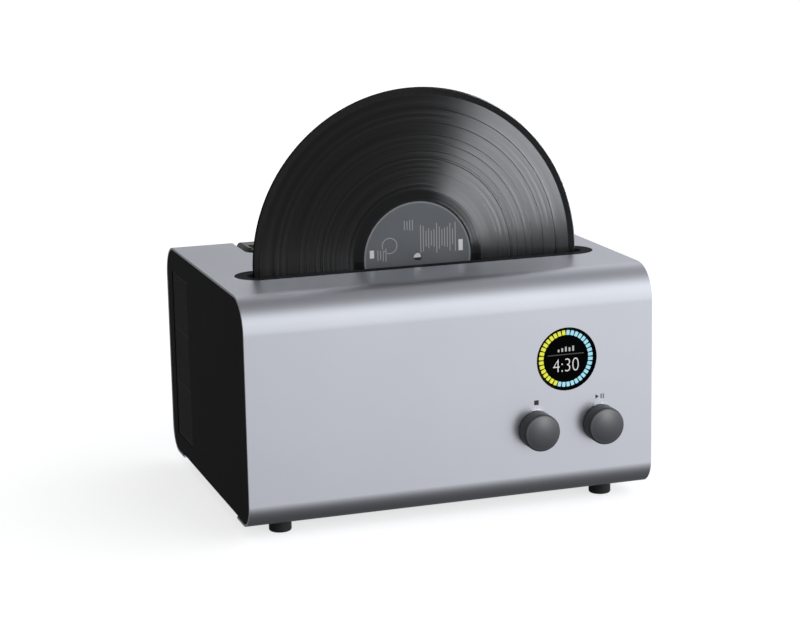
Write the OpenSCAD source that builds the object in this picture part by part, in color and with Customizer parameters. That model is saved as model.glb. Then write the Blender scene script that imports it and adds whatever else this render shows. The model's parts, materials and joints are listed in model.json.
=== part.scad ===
// Record cleaning machine: a 12-inch record stands in a slot and turns in a narrow
// ultrasonic tub. Origin at the middle of the footprint, on the surface it stands on.
// +X is to the right of someone facing the knobs, +Y goes to the rear, +Z is up.

/* [Casing] */
// Depth from the front face to the rear face
case_d = 288; // [286:1:310]
// Space between the slot insert and the side that it is nearer to
side_room = 14.5; // [14:0.5:24]
// Height of the tub's lowest point above the underside of the casing
under_room = 44.4; // [42:0.2:60]
// Outer radius of the bends along the top edges
top_bend = 30; // [26:1:33]
// Outer radius of the bends along the bottom edges
bottom_bend = 22; // [18:1:22]
// Thickness of the casing sheet
sheet_t = 2; // [1.5:0.1:2.5]
// Thickness of each side panel
side_t = 2.5; // [2:0.5:3]
// Depth of a side panel behind the edge of the sheet
panel_sink = 0.5; // [0.3:0.1:1]
// Reach of the sheet under the machine from the front face and from the rear face
underlap = 44; // [43:1:48]
// Thickness of the base plate
base_t = 2; // [1.5:0.5:3]

/* [Feet] */
// Radius of a foot
foot_r = 9.8; // [9:0.1:10]
// Height of a foot under the casing
foot_h = 11; // [8:1:16]
// Distance from the side of the casing to the middle of a foot
foot_inset_x = 35; // [30:1:60]
// Distance from the front or rear face to the middle of a foot
foot_inset_y = 33.5; // [33:0.5:34]

/* [Side vents] */
// Width of a side vent along the depth of the machine
vent_w = 60; // [48:1:64]
// Height of a side vent
vent_h = 157; // [140:1:160]
// Distance from the rear face to the vent
vent_inset = 20; // [18:1:24]
// Height of the vent's lower edge above the underside of the casing
vent_base = 18; // [16:1:24]
// Distance between two vent slits
slit_pitch = 4; // [3.6:0.2:6]
// Width of a vent slit
slit_gap = 2; // [1.2:0.2:2.2]

/* [Record] */
// Radius of a 12-inch record
record_r = 150.6; // [149:0.1:152]
// Thickness of the record at its rim bead
record_t = 2.1; // [1.8:0.1:2.4]
// Radius of the paper label
label_r = 50; // [45:1:51]
// Thickness of a paper label
label_t = 0.15; // [0.1:0.01:0.2]
// Radius of the spindle hole
spindle_r = 3.63; // [3.5:0.01:3.8]
// Height of the record's centre above the top of the casing
record_rise = 5; // [0:0.5:6]

/* [Slot] */
// Offset of the slot from the middle of the machine
slot_x = 2.5; // [0:0.5:6]
// Distance from the front face to the middle of the slot
slot_inset = 101; // [98:1:104]
// Length of the slot insert beyond the record at each end
slot_over = 15.9; // [15:0.1:20]
// Width of the slot insert
slot_w = 44; // [40:1:50]

/* [Wash bath] */
// Clear width inside the tub
bath_gap = 16; // [15:0.5:17]
// Wall thickness of the tub
bath_wall = 2; // [1.5:0.1:2.5]
// Space between the record's edge and the tub wall
bath_margin = 6; // [5.5:0.5:7]
// Angle of each roller from straight below the record's centre
roller_angle = 38; // [34:1:42]
// Radius of the groove floor of a roller
roller_r = 9; // [8.5:0.1:10]
// Width of a roller
roller_w = 10; // [8:0.5:11]
// Radius of a roller shaft
shaft_r = 3; // [2.5:0.1:3.2]

/* [Roller drive] */
// Module of the gears
gear_module = 1; // [0.9:0.05:1.1]
// Teeth on the roller gear
gear_teeth = 32; // [30:1:34]
// Teeth on the motor pinion
pinion_teeth = 16; // [15:1:18]
// Width of the gears
gear_w = 6; // [4:0.5:7]
// Radius of the drive motor
motor_r = 18; // [15:0.5:19]

/* [Front controls] */
// Distance of the display to the right of the middle
display_x = 103; // [95:1:110]
// Height of the display's centre above the underside of the casing
display_z = 123; // [118:1:130]
// Radius of the hole for the display
display_r = 28; // [26:0.5:30]
// Distance of the pair of knobs to the right of the middle
knob_mid = 104.5; // [98:0.5:108]
// Distance between the knobs
knob_spacing = 60; // [54:1:66]
// Height of the knobs above the underside of the casing
knob_z = 63; // [58:1:68]
// Radius of a knob
knob_r = 16.5; // [14:0.5:20]
// Length of a knob
knob_len = 15.5; // [14:0.5:20]
// Gap between a knob and the front face
knob_gap = 1.5; // [1.3:0.1:2.5]

/* [Water tank] */
// Width of the bay that the tank stands in
bay_w = 252; // [246:1:258]
// Depth of the bay from the rear face
bay_d = 85; // [83:1:90]
// Height of the bay's floor above the underside of the casing
bay_base = 69; // [67:1:75]
// Radius of the bay's front corners
bay_corner = 12; // [8:1:16]
// Gap between tank and bay
tank_gap = 1.2; // [0.8:0.1:2]
// Wall thickness of the tank
tank_wall = 2.5; // [2:0.1:3]
// Width of the finger well in front of the tank's rim
well_w = 26; // [22:1:28]
// Space beside the tank's neck at each end
neck_side = 8; // [6:0.5:12]
// Depth of the finger well
well_depth = 22; // [20:1:28]
// Depth of the lid from the rim to the hinge side
lid_d = 16; // [15:1:20]
// Thickness of the lid
lid_t = 3.2; // [2.6:0.1:4]

/* [Drying air] */
// Side of a fan frame
fan_size = 60; // [50:1:60]
// Depth of a fan frame
fan_t = 22; // [18:1:25]
// Number of blades on a rotor
fan_blades = 7; // [5:1:9]

/* [Rear connections] */
// Distance of the mains inlet from the middle
inlet_x = 95; // [85:1:105]
// Distance of the power switch from the middle
switch_x = 52; // [45:1:60]
// Height of both above the underside of the casing
inlet_z = 45; // [43:1:47]

/* [Hidden] */
$fn = 64;

// Clearances: a turning fit, a seat, a joint in the casing, and a moving gap
fit_gap = 0.05;
seat_gap = 0.2;
panel_gap = 0.3;
run_gap = 0.3;
// How far a cutting tool reaches past the face that it cuts
over = 1;

// Casing planes
slot_len = 2 * (record_r + slot_over);
case_w = slot_len + 2 * (slot_x + side_room);
case_h = under_room + record_r + bath_margin + bath_wall - record_rise;
z_under = foot_h;
z_top = z_under + case_h;
y_front = -case_d / 2;
y_rear = case_d / 2;
x_side = case_w / 2;
x_out = x_side - panel_sink;
x_in = x_out - side_t;
lip_edge = case_d / 2 - underlap;
base_z = z_under + sheet_t;
base_top = base_z + base_t;
tab_len = 6;
tab_t = 2;
base_half_x = x_in - panel_gap;
base_half_y = case_d / 2 - bottom_bend - 1.5;
air_slots = 10;
air_slot_w = 3;
air_slot_len = 34;
air_slot_pitch = 8;
foot_edge = 1.5;
foot_screw_r = 2;
base_screw_r = 1.5;

// Record and slot
rc_x = slot_x;
rc_y = y_front + slot_inset;
rc_z = z_top + record_rise;
slot_sink = 0.3;
slot_flange = 6;
slot_flange_t = 2;
collar_h = 5;
mouth_z = z_top - sheet_t - slot_flange_t - collar_h;
skirt_h = 4;
skirt_wall = 1.7;
funnel_h = 3;
funnel_w = 4;

// Tub
bath_half = bath_gap / 2 + bath_wall;
bath_in = record_r + bath_margin;
bath_out = bath_in + bath_wall;
bath_bottom = rc_z - bath_out;
mouth_half = sqrt(pow(bath_in, 2) - pow(rc_z - mouth_z, 2));
skirt_half = sqrt(pow(bath_in, 2) - pow(rc_z - mouth_z + skirt_h, 2)) - seat_gap;
slit_half = skirt_half - skirt_wall;
slit_w = bath_gap - 2 * (seat_gap + skirt_wall);
rim_reach = 3;
rim_t = 1.5;
bath_front = rc_y - bath_half;
bath_rear = rc_y + bath_half;
saddle_x = 45;
saddle_w = 20;
saddle_ear = 4;
saddle_rise = 10;

// Rollers, each in a pocket of the tub
roller_flange = 3;
groove_play = 0.5;
pocket_r = roller_r + roller_flange + 4;
roller_reach = record_r + roller_r + run_gap;
roller_dx = roller_reach * sin(roller_angle);
roller_z = rc_z - roller_reach * cos(roller_angle);
drive_x = rc_x + roller_dx;
idler_x = rc_x - roller_dx;
bush_r = shaft_r + 2;
bush_flange_r = bush_r + 1.5;
bush_flange_t = 1.2;

// Gear pair and motor
mesh_angle = 30;
pressure_angle = 20;
backlash = 0.12;
gear_pitch = gear_module * gear_teeth / 2;
pinion_pitch = gear_module * pinion_teeth / 2;
pinion_x = drive_x + (gear_pitch + pinion_pitch) * cos(mesh_angle);
pinion_z = roller_z + (gear_pitch + pinion_pitch) * sin(mesh_angle);
gear_y = bath_rear + bush_flange_t + 1;
bracket_y = gear_y + gear_w + 2.8;
bracket_t = 2;
motor_shaft_r = 2;
motor_boss_r = 6;
motor_len = 34;

// Transducers: where they stand round the record's centre, and their stack
transducer_ring = 104;
transducer_angle = 35;
horn_h = 14;
horn_r1 = 19;
horn_r2 = 15.5;
piezo_t = 4;
piezo_r = 15;
mass_h = 12;
mass_r = 14.5;
stud_r = 4;

// Control stack behind the front face
disp_z = z_under + display_z;
knobs_z = z_under + knob_z;
knob_l = knob_mid - knob_spacing / 2;
knob_rt = knob_mid + knob_spacing / 2;
bezel_drop = 1.8;
bezel_lip = 2;
glass_t = 2;
module_t = 6;
board_y = y_front + 14;
board_t = 1.6;
board_margin = 14;
board_low = knobs_z - board_margin;
board_high = disp_z + display_r + 8;
post_r = 2.5;
post_edge = 5;
encoder_shaft_r = 3;
encoder_side = 14;
encoder_depth = 7;
bush_nut_t = 2;
encoder_bush_r = 4.5;
bush_end = y_front - bush_nut_t - 0.5;
plunger_t = 1.5;
plunger_r = 4;
push_travel = 1;
chamber_r = plunger_r + 0.4;
chamber_depth = plunger_t + push_travel + 1;
dome_h = 3;
knob_edge = 2.2;
knob_bore_depth = 10;
knob_cavity_r = 9;
knob_cavity = 5;
knob_back = y_front - knob_gap;
knob_reach = knob_gap + knob_len;

// Tank and its bay
bay_half = bay_w / 2;
bay_front = y_rear - bay_d;
bay_z = z_under + bay_base;
bay_wall = 2;
pad_h = 1.2;
pad_edge = 24;
tank_z = bay_z + pad_h + run_gap;
well_z = z_top - well_depth;
rim_y = bay_front + well_w;
grip_reach = 6.5;
neck_y = rim_y + grip_reach;
neck_half = bay_half - neck_side;
neck_corner = 4;
rim_h = 4;
lid_drop = 2;
lid_low = z_top - lid_drop - lid_t;
strip_y = rim_y + lid_d;
lid_half = neck_half - tank_wall;
hinge_y = strip_y - 2.6;
hinge_z = z_top - lid_drop - lid_t / 2;
hinge_pin_r = 1.2;
dock_x = rc_x;
dock_y = bay_front + 32;
valve_r = 6;
valve_flange_r = 10;
valve_nose = 6;
dock_bore = valve_r + 0.5;
dock_r = 11;
dock_h = 12;
spigot_r = 4;
spigot_bore = 2.8;
filter_r = 18;
filter_x = -70;
filter_y = (bay_front + y_rear) / 2 + 7;

// Pump and hoses
hose_r = 6;
hose_in = spigot_r + seat_gap;
hose_bend = 12;
pump_x = rc_x;
pump_z = bath_bottom - 5 - hose_bend;
pump_r = 16.5;
pump_y = rc_y + hose_bend + 14;
pump_len = 45;

// Fans and duct on the left side
vent_y0 = y_rear - vent_inset - vent_w;
vent_z0 = z_under + vent_base;
grille_back = 1.5;
grille_rim = 4;
grille_sink = 0.6;
fan_x = -x_in + grille_back + seat_gap;
fan_y = vent_y0 + vent_w / 2;
fan_step = fan_size + 4;
fan_mid_z = vent_z0 + vent_h / 2;
fan_bore = fan_size / 2 - 1.5;
hub_r = 13;
blade_gap = 0.8;
fan_shaft_r = 1.5;
duct_wall = 1.5;
plenum_x0 = fan_x + fan_t + seat_gap;
plenum_x1 = -(bay_half + bay_wall + seat_gap);
plenum_y0 = bay_front - 14;
duct_x0 = rc_x - bath_in + 7;
duct_x1 = duct_x0 + 24;
duct_z0 = mouth_z - 34;
duct_z1 = mouth_z - 5;
elbow_x1 = max(plenum_x1, duct_x1);
elbow_y1 = bay_front - bay_wall - seat_gap;

// Power supply and ultrasonic generator on the base plate
supply_h = 38;
supply_gap = 18;
board_reach = 24;
board_lift = 7;
generator_w = 92;
generator_d = 78;
generator_gap = 13;

// Rear connections
rear_z = z_under + inlet_z;
inlet_flange_t = 2.5;
inlet_half_w = 13.5;
inlet_half_h = 10;
bezel_t = 2;
rocker_r = 11;
rocker_pivot = 5;
rocker_lift = 0.5;
rocker_tilt = 14;
rocker_w = 9;
switch_half_w = rocker_w / 2 + run_gap + 1.5;
switch_half_h = rocker_r + run_gap + 1;
rocker_pin_r = 1.5;
rocker_pin_len = rocker_w + 2 * run_gap + 2.4;
rocker_run = sqrt(pow(rocker_r, 2) - pow((rocker_lift + rocker_pivot) * cos(rocker_tilt), 2))
    - (rocker_lift + rocker_pivot) * sin(rocker_tilt);
rocker_tip = rocker_lift + rocker_run * sin(rocker_tilt);
rear_reach = max(inlet_flange_t, bezel_t + rocker_tip);

// Moves the casing so that the footprint, knobs and switch included, is centred
frame_y = (knob_reach - rear_reach) / 2;

module placed() {
    translate([0, frame_y, 0]) children();
}

// Extrudes an outline drawn in Y and Z along X
module along_x(x0, len) {
    translate([x0, 0, 0]) rotate([90, 0, 90]) linear_extrude(len) children();
}

// Extrudes an outline drawn in X and Z along Y
module along_y(y0, len) {
    translate([0, y0 + len, 0]) rotate([90, 0, 0]) linear_extrude(len) children();
}

module rod_x(x0, len, y, z, r) {
    translate([x0, y, z]) rotate([0, 90, 0]) cylinder(h = len, r = r);
}

module rod_y(y0, len, x, z, r) {
    translate([x, y0, z]) rotate([-90, 0, 0]) cylinder(h = len, r = r);
}

module rod_z(z0, len, x, y, r) {
    translate([x, y, z0]) cylinder(h = len, r = r);
}

// A box given by its two opposite corners
module block(low, high) {
    translate(low) cube(high - low);
}

// A ring that turns round a line along Y
module sleeve_y(y0, len, x, z, r_out, r_in) {
    difference() {
        rod_y(y0, len, x, z, r_out);
        rod_y(y0 - over, len + 2 * over, x, z, r_in);
    }
}

module stadium(len, w) {
    union() {
        square([len - w, w], center = true);
        for (s = [-1, 1]) translate([s * (len - w) / 2, 0]) circle(r = w / 2);
    }
}

// Side view of the casing, drawn in from the outer face by an inset
module casing_outline(inset) {
    rt = top_bend - inset;
    rb = bottom_bend - inset;
    y0 = y_front + inset;
    y1 = y_rear - inset;
    z0 = z_under + inset;
    z1 = z_top - inset;
    union() {
        polygon([[y0 + rb, z0], [y1 - rb, z0], [y1, z0 + rb], [y1, z1 - rt],
            [y1 - rt, z1], [y0 + rt, z1], [y0, z1 - rt], [y0, z0 + rb]]);
        for (y = [y0 + rb, y1 - rb]) translate([y, z0 + rb]) circle(r = rb);
        for (y = [y0 + rt, y1 - rt]) translate([y, z1 - rt]) circle(r = rt);
    }
}

// Plan with round front corners, run past the rear face by the depth of the bay
module open_plan(half, y0, r) {
    union() {
        translate([-half, y0 + r]) square([2 * half, y_rear + bay_d - y0 - r]);
        translate([-half + r, y0]) square([2 * (half - r), 2 * r]);
        for (s = [-1, 1]) translate([s * (half - r), y0 + r]) circle(r = r);
    }
}

module bay_plan(inset) {
    open_plan(bay_half - inset, bay_front + inset, bay_corner - inset);
}

module foot_places() {
    for (sx = [-1, 1], sy = [-1, 1])
        translate([sx * (x_side - foot_inset_x), sy * (case_d / 2 - foot_inset_y), 0]) children();
}

module base_screw_places() {
    for (sx = [-1, 1], sy = [-1, 1])
        translate([sx * case_w / 7, sy * (case_d / 2 - foot_inset_y), 0]) children();
}

// Casing

module board_posts() {
    for (x = [knob_l - board_margin + post_edge, knob_rt + board_margin - post_edge],
         z = [board_low + post_edge, board_high - post_edge])
        rod_y(y_front + sheet_t / 2, board_y - y_front - sheet_t / 2, x, z, post_r);
}

module shell() {
    color("silver") placed() difference() {
        union() {
            along_x(-x_side, case_w) difference() {
                casing_outline(0);
                casing_outline(sheet_t);
            }
            board_posts();
        }
        block([-x_side - over, -lip_edge, z_under - over],
            [x_side + over, lip_edge, base_z + over]);
        translate([rc_x, rc_y, z_top - sheet_t - over])
            linear_extrude(sheet_t + 2 * over) stadium(slot_len, slot_w);
        translate([0, 0, bay_z]) linear_extrude(case_h) bay_plan(0);
        rod_y(y_front - over, sheet_t + 2 * over, display_x, disp_z, display_r);
        for (x = [knob_l, knob_rt])
            rod_y(y_front - over, sheet_t + 2 * over, x, knobs_z, encoder_bush_r + seat_gap);
        block([-inlet_x - inlet_half_w - seat_gap, y_rear - sheet_t - over,
                rear_z - inlet_half_h - seat_gap],
            [-inlet_x + inlet_half_w + seat_gap, y_rear + over,
                rear_z + inlet_half_h + seat_gap]);
        block([-switch_x - switch_half_w - seat_gap, y_rear - sheet_t - over,
                rear_z - switch_half_h - seat_gap],
            [-switch_x + switch_half_w + seat_gap, y_rear + over,
                rear_z + switch_half_h + seat_gap]);
        foot_places() rod_z(z_under - over, sheet_t + 2 * over, 0, 0, foot_screw_r + seat_gap);
        base_screw_places()
            rod_z(z_under - over, sheet_t + 2 * over, 0, 0, base_screw_r + seat_gap);
    }
}

// Right-hand side panel, set into the shell, with its window and its locating tabs
module side_panel() {
    y1 = case_d / 2 - sheet_t - seat_gap;
    z0 = z_under + bottom_bend + tab_len;
    z1 = z_top - top_bend - tab_len;
    along_x(x_in, side_t) difference() {
        casing_outline(sheet_t + seat_gap);
        translate([vent_y0, vent_z0]) square([vent_w, vent_h]);
    }
    for (s = [-1, 1])
        block([x_in - tab_len, min(s * y1, s * (y1 - tab_t)), z0],
            [x_in, max(s * y1, s * (y1 - tab_t)), z1]);
}

module side_panel_left() {
    color("#1c1c1e") placed() mirror([1, 0, 0]) side_panel();
}

module side_panel_right() {
    color("#1c1c1e") placed() side_panel();
}

// Right-hand vent insert: a rim behind the panel and upright slats in its window
module grille() {
    slits = floor((vent_w - slit_pitch) / slit_pitch);
    rows = 3;
    bar = 3;
    first = vent_y0 + (vent_w - slits * slit_pitch) / 2;
    row_h = (vent_h - (rows + 1) * bar) / rows;
    difference() {
        union() {
            block([x_in - grille_back, vent_y0 - grille_rim, vent_z0 - grille_rim],
                [x_in, vent_y0 + vent_w + grille_rim, vent_z0 + vent_h + grille_rim]);
            block([x_in, vent_y0 + seat_gap, vent_z0 + seat_gap],
                [x_out - grille_sink, vent_y0 + vent_w - seat_gap, vent_z0 + vent_h - seat_gap]);
        }
        for (i = [0 : slits - 1], k = [0 : rows - 1])
            translate([x_in - grille_back - over, first + (i + 0.5) * slit_pitch - slit_gap / 2,
                vent_z0 + bar + k * (row_h + bar)])
                cube([side_t + grille_back + 2 * over, slit_gap, row_h]);
    }
}

module grille_left() {
    color("#242426") placed() mirror([1, 0, 0]) grille();
}

module grille_right() {
    color("#242426") placed() grille();
}

module base_plate() {
    color("#222224") placed() difference() {
        block([-base_half_x, -base_half_y, base_z], [base_half_x, base_half_y, base_top]);
        foot_places() rod_z(base_z - over, base_t + 2 * over, 0, 0, foot_screw_r + seat_gap);
        base_screw_places()
            rod_z(base_z - over, base_t + 2 * over, 0, 0, base_screw_r + seat_gap);
        for (i = [0 : air_slots - 1])
            translate([-base_half_x / 2 + (i - air_slots / 2) * air_slot_pitch,
                bath_front - 2 * rim_reach - air_slot_len, base_z - over])
                cube([air_slot_w, air_slot_len, base_t + 2 * over]);
    }
}

module feet() {
    color("#202222") placed() foot_places() difference() {
        rotate_extrude() union() {
            square([foot_r - foot_edge, foot_h]);
            translate([0, foot_edge]) square([foot_r, foot_h - foot_edge]);
            translate([foot_r - foot_edge, foot_edge]) circle(r = foot_edge);
        }
        rod_z(-over, foot_h + 2 * over, 0, 0, foot_screw_r + seat_gap);
        rod_z(-over, over + foot_h / 2, 0, 0, 4.5);
    }
}

// Pan-head screw pointing up, with its head seated at height zero
module screw(head_r, head_h, shank_r, shank) {
    difference() {
        union() {
            translate([0, 0, -head_h]) cylinder(h = head_h, r = head_r);
            cylinder(h = shank, r = shank_r);
        }
        for (a = [0, 90]) rotate([0, 0, a]) translate([-head_r * 0.6, -0.4, -head_h - over])
            cube([head_r * 1.2, 0.8, over + head_h * 0.5]);
    }
}

module foot_screws() {
    color("#8a8c90") placed() foot_places() translate([0, 0, foot_h / 2])
        screw(2 * foot_screw_r, 2.4, foot_screw_r, base_top + 3 - foot_h / 2);
}

module base_screws() {
    color("#8a8c90") placed() base_screw_places() translate([0, 0, z_under])
        screw(2 * base_screw_r, 1.8, base_screw_r, base_top + 3 - z_under);
}

// Slot and tub

module slot_frame() {
    color("#2c2d35") placed() difference() {
        union() {
            translate([rc_x, rc_y, z_top - sheet_t])
                linear_extrude(sheet_t - slot_sink)
                stadium(slot_len - 2 * panel_gap, slot_w - 2 * panel_gap);
            translate([rc_x, rc_y, z_top - sheet_t - slot_flange_t])
                linear_extrude(slot_flange_t)
                stadium(slot_len + 2 * slot_flange, slot_w + 2 * slot_flange);
            block([rc_x - mouth_half - bath_wall - rim_reach, bath_front - rim_reach, mouth_z],
                [rc_x + mouth_half + bath_wall + rim_reach, bath_rear + rim_reach,
                    mouth_z + collar_h]);
            block([rc_x - skirt_half, rc_y - bath_gap / 2 + seat_gap, mouth_z - skirt_h],
                [rc_x + skirt_half, rc_y + bath_gap / 2 - seat_gap, mouth_z]);
        }
        translate([rc_x, rc_y, mouth_z - skirt_h - over])
            linear_extrude(case_h) stadium(2 * slit_half, slit_w);
        translate([rc_x, rc_y, z_top - funnel_h]) {
            for (s = [-1, 1]) translate([s * (slit_half - slit_w / 2), 0, 0])
                cylinder(h = funnel_h + over, r1 = slit_w / 2, r2 = slit_w / 2 + funnel_w);
            translate([-slit_half + slit_w / 2, 0, 0]) rotate([90, 0, 90])
                linear_extrude(2 * slit_half - slit_w)
                polygon([[-slit_w / 2, 0], [slit_w / 2, 0],
                    [slit_w / 2 + funnel_w, funnel_h + over],
                    [-slit_w / 2 - funnel_w, funnel_h + over]]);
        }
    }
}

// Grooved blocks at both ends of the slit
module record_guides() {
    groove = record_t + 2.4;
    reach = record_r + 1.2;
    color("#d8d8d4") placed() translate([rc_x, rc_y, mouth_z - 2])
        linear_extrude(collar_h + 1)
        for (s = [-1, 1]) difference() {
            intersection() {
                stadium(2 * (slit_half - seat_gap), slit_w - 2 * seat_gap);
                translate([s > 0 ? slit_half - 9 : -slit_half, -slit_w / 2])
                    square([9, slit_w]);
            }
            translate([s > 0 ? 0 : -reach, -groove / 2]) square([reach, groove]);
        }
}

// Face view of the tub: the record's round outline, a pocket for each roller, open on top
module bath_outline(grow, top) {
    difference() {
        union() {
            translate([rc_x, rc_z]) circle(r = bath_in + grow);
            for (x = [idler_x, drive_x]) translate([x, roller_z]) circle(r = pocket_r + grow);
        }
        translate([rc_x - 2 * bath_out, top]) square([4 * bath_out, 2 * bath_out]);
    }
}

module wash_bath() {
    slot_count = 5;
    color("#b9bcc0") placed() difference() {
        union() {
            along_y(bath_front, 2 * bath_half) bath_outline(bath_wall, mouth_z);
            block([rc_x - mouth_half - bath_wall - rim_reach, bath_front - rim_reach,
                    mouth_z - rim_t],
                [rc_x + mouth_half + bath_wall + rim_reach, bath_rear + rim_reach, mouth_z]);
            rod_z(pump_z + hose_bend + 0.5, bath_out - bath_in + 4.5, rc_x, rc_y, spigot_r);
        }
        along_y(rc_y - bath_gap / 2, bath_gap) bath_outline(0, mouth_z + over);
        rod_z(pump_z, 2 * hose_bend + 5, rc_x, rc_y, spigot_bore);
        for (x = [idler_x, drive_x])
            rod_y(bath_front - over, 2 * bath_half + 2 * over, x, roller_z, bush_r + fit_gap);
        for (i = [0 : slot_count - 1])
            block([duct_x0 + duct_wall + 1 + i * 4.2, rc_y, duct_z0 + duct_wall + 3],
                [duct_x0 + duct_wall + 3.6 + i * 4.2, bath_rear + over, duct_z1 - duct_wall - 1]);
    }
}

// Cradles under the tub, each with two ears that hold its faces
module bath_saddles() {
    ear_z = rc_z - sqrt(pow(bath_out, 2) - pow(saddle_x, 2)) + saddle_rise;
    color("#2b2c2f") placed() for (s = [-1, 1]) {
        x = rc_x + s * saddle_x;
        difference() {
            union() {
                block([x - saddle_w / 2, bath_front - seat_gap - saddle_ear, base_top],
                    [x + saddle_w / 2, bath_rear + seat_gap + saddle_ear, ear_z]);
                block([x - saddle_w / 2, bath_front - saddle_ear - 10, base_top],
                    [x + saddle_w / 2, bath_rear + saddle_ear + 10, base_top + 4]);
            }
            intersection() {
                block([x - saddle_w, bath_front - seat_gap, base_top],
                    [x + saddle_w, bath_rear + seat_gap, ear_z + over]);
                rod_y(bath_front - over, 2 * bath_half + 2 * over, rc_x, rc_z,
                    bath_out + seat_gap);
            }
            for (k = [-1, 1])
                block([x - saddle_w, rc_y + (k > 0 ? 2 : -bath_half + 1), base_top + 6],
                    [x + saddle_w, rc_y + (k > 0 ? bath_half - 1 : -2), bath_bottom - 8]);
        }
    }
}

// Puts a transducer on both faces of the tub, left and right of the record's centre
module transducer_places() {
    for (sx = [-1, 1]) {
        x = rc_x + sx * transducer_ring * sin(transducer_angle);
        z = rc_z - transducer_ring * cos(transducer_angle);
        translate([x, bath_front, z]) rotate([90, 0, 0]) children();
        translate([x, bath_rear, z]) rotate([-90, 0, 0]) children();
    }
}

module transducer_horns() {
    color("#c0c2c6") placed() transducer_places() {
        cylinder(h = horn_h, r1 = horn_r1, r2 = horn_r2);
        translate([0, 0, horn_h / 2])
            cylinder(h = horn_h / 2 + 2 * piezo_t + mass_h + 3, r = stud_r);
    }
}

module piezo_rings() {
    color("#cbb26a") placed() transducer_places() for (k = [0, 1])
        translate([0, 0, horn_h + k * (piezo_t + 0.4)]) difference() {
            cylinder(h = piezo_t, r = piezo_r);
            translate([0, 0, -over]) cylinder(h = piezo_t + 2 * over, r = stud_r + seat_gap);
        }
}

module back_masses() {
    color("#6d7075") placed() transducer_places()
        translate([0, 0, horn_h + 2 * piezo_t + 0.4]) difference() {
            cylinder(h = mass_h, r = mass_r);
            translate([0, 0, -over]) cylinder(h = mass_h + 2 * over, r = stud_r + seat_gap);
        }
}

// Record

// Half of the record's section, from the spindle hole to the rim bead
module record_section() {
    half = record_t / 2;
    bead = half;
    intersection() {
        union() {
            polygon([[spindle_r, -half + label_t], [label_r, -half + label_t],
                [label_r + 0.4, -half * 0.8], [58, -half * 0.7], [59, -half * 0.78],
                [record_r - 4.6, -half * 0.78], [record_r - 3.6, -half * 0.9],
                [record_r - bead, -half], [record_r - bead, half],
                [record_r - 3.6, half * 0.9], [record_r - 4.6, half * 0.78],
                [59, half * 0.78], [58, half * 0.7], [label_r + 0.4, half * 0.8],
                [label_r, half - label_t], [spindle_r, half - label_t]]);
            translate([record_r - bead, 0]) circle(r = bead);
        }
        translate([spindle_r, -half]) square([record_r, record_t]);
    }
}

module record_disc() {
    color("#101012") placed() translate([rc_x, rc_y, rc_z]) rotate([90, 0, 0])
        rotate_extrude($fn = 180) record_section();
}

module label_front() {
    color("#4c4f52") placed()
        sleeve_y(rc_y - record_t / 2, label_t, rc_x, rc_z, label_r - 0.1, spindle_r);
}

module label_rear() {
    color("#4c4f52") placed()
        sleeve_y(rc_y + record_t / 2 - label_t, label_t, rc_x, rc_z, label_r - 0.1, spindle_r);
}

// Rollers and their drive

// Flanged roller on a shaft along Y, with a groove for the record's edge
module roller(x) {
    floor_half = record_t / 2 + groove_play;
    half = roller_w / 2;
    r = roller_r + roller_flange;
    translate([x, rc_y, roller_z]) rotate([90, 0, 0]) rotate_extrude()
        polygon([[shaft_r + fit_gap, -half], [r, -half], [r, -floor_half - 1],
            [roller_r, -floor_half], [roller_r, floor_half], [r, floor_half + 1],
            [r, half], [shaft_r + fit_gap, half]]);
}

module drive_roller() {
    color("#3d6f9e") placed() roller(drive_x);
}

module idler_roller() {
    color("#3d6f9e") placed() roller(idler_x);
}

module drive_shaft() {
    color("#c8cacc") placed()
        rod_y(bath_front - bush_flange_t, bracket_y + bracket_t + 1 - bath_front
            + bush_flange_t, drive_x, roller_z, shaft_r);
}

module idler_shaft() {
    color("#c8cacc") placed()
        rod_y(bath_front - bush_flange_t, 2 * bath_half + 2 * bush_flange_t,
            idler_x, roller_z, shaft_r);
}

// Flanged bush in a wall; the flange lies on the side that dir points to
module wall_bush(y0, wall, x, dir) {
    difference() {
        union() {
            rod_y(y0, wall, x, roller_z, bush_r);
            rod_y(dir > 0 ? y0 + wall : y0 - bush_flange_t, bush_flange_t, x, roller_z,
                bush_flange_r);
        }
        rod_y(y0 - 2 * bush_flange_t, wall + 4 * bush_flange_t, x, roller_z,
            shaft_r + fit_gap);
    }
}

module shaft_bushes() {
    color("#b98d4a") placed() {
        for (x = [idler_x, drive_x]) {
            wall_bush(bath_front, bath_wall, x, -1);
            wall_bush(bath_rear - bath_wall, bath_wall, x, 1);
        }
        wall_bush(bracket_y, bracket_t, drive_x, -1);
    }
}

// Point on the involute of a base circle, after unwinding by an angle in degrees
function involute(base, a) = [
    base * (cos(a) + a * PI / 180 * sin(a)),
    base * (sin(a) - a * PI / 180 * cos(a))
];
function turned(p, a) = [p[0] * cos(a) - p[1] * sin(a), p[0] * sin(a) + p[1] * cos(a)];

// Spur gear outline with involute flanks; one tooth points along the first axis
module gear_outline(teeth, steps = 4) {
    pitch = gear_module * teeth / 2;
    base = pitch * cos(pressure_angle);
    tip = pitch + gear_module;
    root = pitch - 1.25 * gear_module;
    inv = (tan(pressure_angle) - pressure_angle * PI / 180) * 180 / PI;
    flank = 90 / teeth + inv - backlash / pitch * 90 / PI;
    unwind = sqrt(pow(tip / base, 2) - 1) * 180 / PI;
    right = [for (i = [0 : steps]) turned(involute(base, unwind * i / steps), -flank)];
    left = [for (i = [steps : -1 : 0]) [right[i][0], -right[i][1]]];
    tooth = concat([turned([root, 0], -flank)], right, left, [turned([root, 0], flank)]);
    polygon([for (k = [0 : teeth - 1], p = tooth) turned(p, k * 360 / teeth)]);
}

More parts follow.
